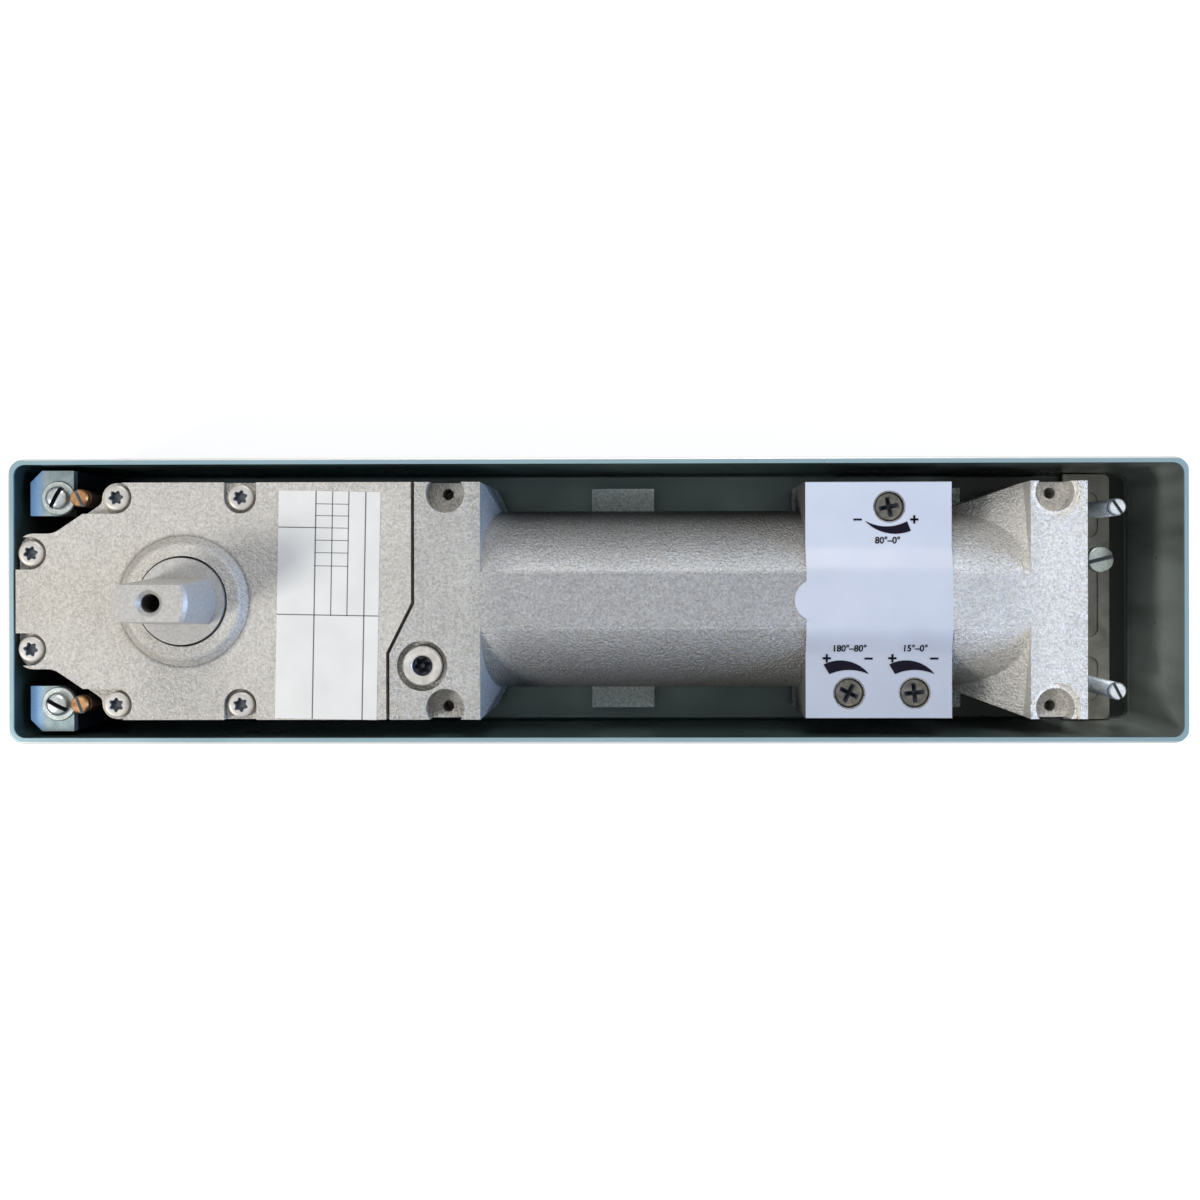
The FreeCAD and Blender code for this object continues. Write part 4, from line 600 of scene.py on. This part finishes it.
def clamp_screws():
    """Two collared screws with a domed slotted head."""
    foot = low_of("clamp_screws", 2)
    base = high_of("clamp_plate_rear", 2)
    side = middle("clamp_screws")[0]
    cad_collar_r = 4.5
    reach = (high_of("clamp_screws", 1) - low_of("clamp_screws", 1)) / 2 - cad_collar_r
    profile = [(foot - base, 2.5), (0.0, 2.5), (0.0, 5.0), (0.4, 5.0), (0.7, 4.75), (0.7, 3.55), (1.2, 3.5),
               (2.0, 3.3), (2.6, 2.85), (2.95, 2.1), (3.08, 1.1), (3.1, 0.3)]
    forms = [slotted(profile, (side, y, base), math.radians(turn), 1.25, 1.4, 6.0)
             for y, turn in ((reach, 62.0), (-reach, -28.0))]
    finished("clamp_screw_set", merged(forms), FINISHES["head"], "cement_box",
             ["clamp_screws"])


def thread(bm, low, high, inner, outer, pitch, steps=28):
    """Screw thread as a helical skin round the Z axis."""
    heights = [0.0, 0.38, 0.5, 0.88, 1.0]
    radii = [inner, outer, outer, inner, inner]
    verts = [bm.verts.new((radius, 0.0, low + height * pitch)) for height, radius in zip(heights, radii)]
    edges = [bm.edges.new(pair) for pair in zip(verts, verts[1:])]
    turns = int((high - low) / pitch) - 1
    bmesh.ops.spin(bm, geom=verts + edges, cent=(0.0, 0.0, 0.0), axis=(0.0, 0.0, 1.0),
                   dvec=(0.0, 0.0, pitch / steps), angle=2.0 * math.pi * turns, steps=turns * steps)
    bmesh.ops.remove_doubles(bm, verts=bm.verts, dist=0.001)
    inward = [face for face in bm.faces
              if face.normal.xy.dot(face.calc_center_median().xy) < 0.0]
    bmesh.ops.reverse_faces(bm, faces=inward)


def level_screws():
    """Four threaded screws with a slotted end, of a slotted head, a core and a thread."""
    looks = {"level_screw_near_rear": ("yellow", "yellow_zinc", -64.0),
             "level_screw_near_front": ("yellow", "yellow_zinc", -70.0),
             "level_screw_far_rear": ("shaft", "screw_zinc", -55.0),
             "level_screw_far_front": ("shaft", "screw_zinc", -62.0)}
    for name, (finish, slot, turn) in looks.items():
        x, y, _ = middle(name)
        top = high_of(name, 2)
        foot = low_of(name, 2)
        head = slotted([(-2.6, 2.3), (-2.2, 2.58), (-0.45, 2.58), (0.0, 2.2)], (0.0, 0.0, top),
                       math.radians(turn), 0.95, -1.3, 4.0)
        core = bmesh.new()
        turned(core, [(foot, 2.2), (top - 2.3, 2.2)])
        for form in (head, core):
            bmesh.ops.recalc_face_normals(form, faces=form.faces)
        helix = bmesh.new()
        thread(helix, foot + 0.3, top - 1.6, inner=2.22, outer=2.58, pitch=0.8)
        whole = merged([head, core, helix])
        bmesh.ops.translate(whole, vec=(x, y, 0.0), verts=whole.verts)
        finished(name + "_thread", whole, FINISHES[finish], name, [name], 40.0, False, "slot")


def fixing_screw():
    """Cheese head screw of the base plate."""
    x, y, _ = middle("plate_fixing_screw")
    top = high_of("plate_fixing_screw", 2)
    foot = low_of("plate_fixing_screw", 2) - top
    profile = [(foot, 2.45), (-3.2, 2.45), (-3.2, 4.0), (-0.6, 4.0), (-0.2, 3.85), (0.0, 3.5)]
    form = slotted(profile, (x, y, top), math.radians(14.0), 1.2, -1.2, 6.0)
    finished("base_fixing_screw", form, FINISHES["screw"], "cement_box",
             ["plate_fixing_screw"], shade="slot")


def oil_plug():
    """Oil plug with a round socket, a lobed recess and a pin in it."""
    x, y, _ = middle("oil_plug")
    top = high_of("oil_plug", 2)
    foot = low_of("oil_plug", 2) - top
    profile = [(foot, 4.2), (-1.8, 4.2), (-1.8, 5.75), (-0.35, 5.75), (0.0, 5.4), (0.0, 3.3), (-0.3, 2.95),
               (-1.0, 2.8), (-1.05, six_lobe(2.2, 0.16)), (-3.4, six_lobe(2.0, 0.16)), (-3.4, 0.62),
               (-1.2, 0.6)]
    bm = bmesh.new()
    turned(bm, profile, (x, y, top), 0.2, recess=6)
    finished("oil_plug_socket", bm, FINISHES["plug"], "closer", ["oil_plug"])


def coil(start, angle, turns, pitch, outer, inner, tall):
    """Closed helix of rectangular wire round the X axis."""
    bm = bmesh.new()
    corners = [(start, inner), (start + tall, inner), (start + tall, outer), (start, outer)]
    spin = Matrix.Rotation(angle, 4, "X")
    verts = [bm.verts.new(spin @ Vector((x, radius, 0.0))) for x, radius in corners]
    edges = [bm.edges.new(pair) for pair in zip(verts, verts[1:] + verts[:1])]
    bmesh.ops.contextual_create(bm, geom=edges)
    steps = int(36 * turns)
    last = bmesh.ops.spin(bm, geom=edges, cent=(0.0, 0.0, 0.0), axis=(1.0, 0.0, 0.0),
                          dvec=(pitch * turns / steps, 0.0, 0.0), angle=2.0 * math.pi * turns, steps=steps)
    ends = [item for item in last["geom_last"] if isinstance(item, bmesh.types.BMEdge)]
    bmesh.ops.contextual_create(bm, geom=ends)
    return bm


def closing_spring():
    """Spring in two halves, end to end; the near half stands for the CAD spring."""
    left = low_of("main_spring", 0)
    right = high_of("main_spring", 0)
    _, y, z = middle("main_spring")
    outer = (high_of("main_spring", 1) - low_of("main_spring", 1)) / 2
    # The wire's width and height, and the number of turns.
    wide, tall, turns = 4.4, 6.0, 7.0
    pitch = (right - left - tall) / turns
    half = pitch * turns / 2
    halves = [("spring_half_near", left, 0.0, "piston", left),
              ("spring_half_far", left + half, math.pi, "spring_collar", right)]
    for name, start, angle, moving, edge in halves:
        bm = coil(start, angle, turns / 2, pitch, outer, outer - wide, tall)
        bmesh.ops.translate(bm, vec=(0.0, y, z), verts=bm.verts)
        nodes = ["main_spring"] if moving == "piston" else []
        piece = finished(name, bm, FINISHES["spring"], None, nodes)
        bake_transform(piece)


# Labels: ruled lines, dial marks and the foil that follows the valve block.

FOIL_LOW = low_of("adjustment_label", 2)
FOIL_LEFT = low_of("adjustment_label", 0)
FOIL_RIGHT = high_of("adjustment_label", 0)
FOIL_LENGTH = 42.25
FOIL_HALF = high_of("adjustment_label", 1)
# Across the block: where the flat top ends and where the fold ends; then the film's thickness.
FLAT_HALF = 7.2
FOLD_FOOT = 16.5
FILM = 0.15


def foil_height(x, y):
    """Height of the foil: flat on top, a soft fold, then flat on the shoulders."""
    share = min(max((abs(y) - FLAT_HALF) / (FOLD_FOOT - FLAT_HALF), 0.0), 1.0)
    fall = share * share * (3.0 - 2.0 * share)
    top = BODY_TOP + FILM
    low = FOIL_LOW + FILM
    swell = 0.10 * math.sin(math.pi * share) * (1.0 + math.sin(0.35 * x + 0.2 * y))
    return top + (low - top) * fall + swell


def adjustment_foil():
    """Thin film over the valve block with three holes and a half round tab."""
    bm = bmesh.new()
    matrix = (Matrix.Translation((FOIL_RIGHT - FOIL_LENGTH / 2, 0.0, 0.0))
              @ Matrix.Diagonal((FOIL_LENGTH, 2.0 * FOIL_HALF, 1.0, 1.0)))
    bmesh.ops.create_grid(bm, x_segments=84, y_segments=136, size=0.5, matrix=matrix)
    bmesh.ops.solidify(bm, geom=bm.faces, thickness=FILM * 0.8)
    cutter = bmesh.new()
    for name in ("closing_valve", "wide_angle_valve", "latch_valve"):
        x, y, _ = middle(name)
        turned(cutter, [(-5.0, 4.7), (5.0, 4.7)], (x, y, 0.0))
    bm = less(bm, cutter)
    for vert in bm.verts:
        vert.co.z += foil_height(vert.co.x, vert.co.y) - FILM * 0.8
    tab = bmesh.new()
    turned(tab, [(0.0, 6.0), (FILM * 0.6, 6.0)], (FOIL_LEFT + 6.0, 0.0, BODY_TOP + 0.01))
    finished("adjustment_foil", merged([bm, tab]), FINISHES["film"], "closer",
             ["adjustment_label"])


def outline_form(points):
    """Flat face inside an outline."""
    bm = bmesh.new()
    bm.faces.new([bm.verts.new((x, y, 0.0)) for x, y in points])
    return bm


def arc_through(first, second, third, count=16):
    """Points of the arc through three points."""
    (ax, ay), (bx, by), (cx, cy) = first, second, third
    scale = 2.0 * (ax * (by - cy) + bx * (cy - ay) + cx * (ay - by))
    a2, b2, c2 = ax * ax + ay * ay, bx * bx + by * by, cx * cx + cy * cy
    x = (a2 * (by - cy) + b2 * (cy - ay) + c2 * (ay - by)) / scale
    y = (a2 * (cx - bx) + b2 * (ax - cx) + c2 * (bx - ax)) / scale
    radius = math.hypot(ax - x, ay - y)
    start = math.atan2(ay - y, ax - x)
    sweep = math.remainder(math.atan2(cy - y, cx - x) - start, 2.0 * math.pi)
    return [(x + radius * math.cos(start + sweep * step / count),
             y + radius * math.sin(start + sweep * step / count)) for step in range(count + 1)]


def wedge(valve, tip, outer, corner, inner_corner, inner):
    """Curved wedge from a thin tip to a thick end, given about the valve's centre."""
    outline = arc_through(tip, outer, corner) + arc_through(inner_corner, inner, tip)[:-1]
    return outline_form([(valve[0] + x, valve[1] + y) for x, y in outline])


def plain_words(text, centre, height):
    """Flat mesh of a line of plain numbers, centred at a place."""
    curve = bpy.data.curves.new("numbers", "FONT")
    curve.body = text
    curve.align_x = "CENTER"
    curve.align_y = "CENTER"
    curve.size = height / 0.72
    curve.offset = height * 0.03
    carrier = bpy.data.objects.new("numbers", curve)
    mesh = bpy.data.meshes.new_from_object(carrier)
    bm = bmesh.new()
    bm.from_mesh(mesh)
    bpy.data.objects.remove(carrier)
    bpy.data.curves.remove(curve)
    bpy.data.meshes.remove(mesh)
    bmesh.ops.translate(bm, vec=(*centre, 0.0), verts=bm.verts)
    return bm


def bar(centre, length, width):
    """Flat bar along X."""
    bm = bmesh.new()
    matrix = Matrix.Translation((*centre, 0.0)) @ Matrix.Diagonal((length, width, 1.0, 1.0))
    bmesh.ops.create_grid(bm, x_segments=4, y_segments=2, size=0.5, matrix=matrix)
    return bm


def dial_marks():
    """Turning marks beside the three valves: minus, plus, a wedge and the range in degrees."""
    forms = []
    rear = middle("closing_valve")
    forms += [bar((rear[0] - 9.2, rear[1] - 3.7), 2.4, 0.55), bar((rear[0] + 7.2, rear[1] - 3.7), 2.4, 0.6),
              bar((rear[0] + 7.2, rear[1] - 3.7), 0.6, 2.4),
              wedge(rear, (-7.1, -4.0), (-1.5, -7.4), (6.2, -7.0), (5.1, -4.2), (-1.5, -5.7)),
              plain_words("80°–0°", (rear[0] - 0.5, rear[1] - 9.8), 1.9)]
    for name, words in (("wide_angle_valve", "180°–80°"), ("latch_valve", "15°–0°")):
        x, y, _ = middle(name)
        forms += [bar((x - 6.5, y + 10.1), 2.4, 0.6), bar((x - 6.5, y + 10.1), 0.6, 2.4),
                  bar((x + 5.6, y + 10.0), 2.4, 0.55),
                  wedge((x, y), (5.7, 5.5), (-1.3, 9.4), (-7.4, 8.3), (-5.7, 5.5), (-0.2, 6.7)),
                  plain_words(words, (x, y + 12.9), 1.9)]
    bm = merged(forms)
    bmesh.ops.triangulate(bm, faces=bm.faces)
    for vert in bm.verts:
        vert.co.z = foil_height(vert.co.x, vert.co.y) + 0.04
    for face in bm.faces:
        face.normal_update()
    bmesh.ops.reverse_faces(bm, faces=[face for face in bm.faces if face.normal.z < 0.0])
    finished("dial_marks", bm, FINISHES["ink"], "closer", outward=False)


def label_rules():
    """Ruled lines of the type label, which is otherwise left bare."""
    left = low_of("type_label", 0)
    top = high_of("type_label", 1)
    height = high_of("type_label", 2)
    tilt = math.radians(-1.1)
    # The label's length along the body and across it; a line is x, x, y, y and its width.
    wide, tall = 29.4, 65.8
    shift = tall * math.sin(-tilt)
    lines = [(10.8, 10.8, 0.0, tall, 0.36), (25.2, 25.2, 0.0, tall, 0.36), (15.6, 15.6, 0.0, 35.8, 0.3),
             (20.3, 20.3, 0.0, 35.8, 0.3), (0.0, wide, 35.8, 35.8, 0.3), (0.0, 10.8, 10.6, 10.6, 0.3)]
    lines += [(10.8, 20.3, down, down, 0.22) for down in (3.7, 7.1, 10.6, 14.2, 17.8, 21.6)]
    bm = bmesh.new()
    for x0, x1, y0, y1, width in lines:
        pad = width / 2
        low = (max(x0 - pad, 0.0), max(-y1 - pad, -tall), 0.0)
        high = (min(x1 + pad, wide), min(-y0 + pad, 0.0), 0.02)
        block(bm, low, high, tilt, (left + shift, top, height))
    finished("label_rules", bm, FINISHES["rule"], "closer")


cover_screws()
valve_screws()
clamp_screws()
level_screws()
fixing_screw()
oil_plug()
closing_spring()
adjustment_foil()
dial_marks()
label_rules()


# Studio: pale floor, soft lamps, pale background.

def seen_rays(tree):
    """Node that is 1 for the rays of the camera, of gloss and of glass."""
    path = tree.nodes.new("ShaderNodeLightPath")
    first, second = (tree.nodes.new("ShaderNodeMath") for _ in range(2))
    first.operation = second.operation = "MAXIMUM"
    tree.links.new(path.outputs["Is Camera Ray"], first.inputs[0])
    tree.links.new(path.outputs["Is Glossy Ray"], first.inputs[1])
    tree.links.new(first.outputs[0], second.inputs[0])
    tree.links.new(path.outputs["Is Transmission Ray"], second.inputs[1])
    return second


def pale_ground(glow_level=0.60):
    """White floor that still takes the shadow of the box."""
    finish = new_finish("pale_floor", (0.72, 0.72, 0.72), 0.9)
    shader = shader_of(finish)
    shader.inputs["Emission Color"].default_value = (*WHITE, 1.0)
    seen = seen_rays(finish.node_tree)
    glow = finish.node_tree.nodes.new("ShaderNodeMath")
    glow.operation = "MULTIPLY"
    glow.inputs[1].default_value = glow_level
    join_up(finish, seen, 0, glow, 0)
    join_up(finish, glow, 0, shader, "Emission Strength")
    mesh = bpy.data.meshes.new("studio_floor")
    bm = bmesh.new()
    bmesh.ops.create_grid(bm, x_segments=1, y_segments=1, size=3.0)
    bm.to_mesh(mesh)
    bm.free()
    floor = bpy.data.objects.new("studio_floor", mesh)
    bpy.context.scene.collection.objects.link(floor)
    mesh.materials.append(finish)


def soft_lamp(name, place, size, power, colour=WHITE):
    """Square lamp that faces the middle of the object."""
    light = bpy.data.lights.new(name, "AREA")
    light.size = size
    light.energy = power
    light.color = colour
    lamp = bpy.data.objects.new(name, light)
    lamp.location = place
    aim = Vector((0.0, 0.0, 0.04)) - Vector(place)
    lamp.rotation_euler = aim.to_track_quat("-Z", "Y").to_euler()
    bpy.context.scene.collection.objects.link(lamp)


def pale_world(strength=0.25):
    """White where the camera, gloss or glass sees it, softer as a light."""
    world = bpy.data.worlds.new("studio")
    world.use_nodes = True
    bpy.context.scene.world = world
    nodes = world.node_tree.nodes
    links = world.node_tree.links
    back = nodes["Background"]
    back.inputs["Color"].default_value = (*WHITE, 1.0)
    level = nodes.new("ShaderNodeMapRange")
    level.inputs["To Min"].default_value = strength
    level.inputs["To Max"].default_value = 1.0
    links.new(seen_rays(world.node_tree).outputs[0], level.inputs["Value"])
    links.new(level.outputs["Result"], back.inputs["Strength"])


def photo_camera():
    """Camera straight above the box, a little tilted, as the photograph was taken."""
    frame_px = 1200.0
    px_per_mm = 3.474
    rim_distance = 430.0 * MM
    nadir_px = (660.0, 570.0)
    rim_middle_px = (597.0, 600.5)
    tilt = math.radians(0.5)
    roll = math.radians(-0.1)
    focal_px = px_per_mm * rim_distance / MM
    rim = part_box("cement_box")[1][2]
    data = bpy.data.cameras.new("photo_camera")
    data.sensor_width = 36.0
    data.lens = data.sensor_width * focal_px / frame_px
    principal_px = nadir_px[0] - focal_px * math.tan(tilt)
    data.shift_x = (frame_px / 2 - principal_px) / frame_px
    data.shift_y = (nadir_px[1] - frame_px / 2) / frame_px
    data.clip_start = 0.01
    camera = bpy.data.objects.new("photo_camera", data)
    camera.location = ((nadir_px[0] - rim_middle_px[0]) / px_per_mm * MM,
                       (rim_middle_px[1] - nadir_px[1]) / px_per_mm * MM, rim + rim_distance)
    camera.rotation_euler = (0.0, tilt, roll)
    bpy.context.scene.collection.objects.link(camera)
    bpy.context.scene.camera = camera


bpy.context.scene.view_settings.view_transform = "Standard"
pale_ground()
pale_world()
soft_lamp("key_lamp", (-0.85, -0.40, 0.85), 0.3, 9.5, (1.0, 0.97, 0.92))
soft_lamp("rear_lamp", (0.0, 1.0, 0.9), 0.6, 8.0, (1.0, 0.99, 0.97))
soft_lamp("side_lamp", (1.2, -0.1, 0.32), 0.45, 14.0, (0.35, 0.58, 1.0))
photo_camera()
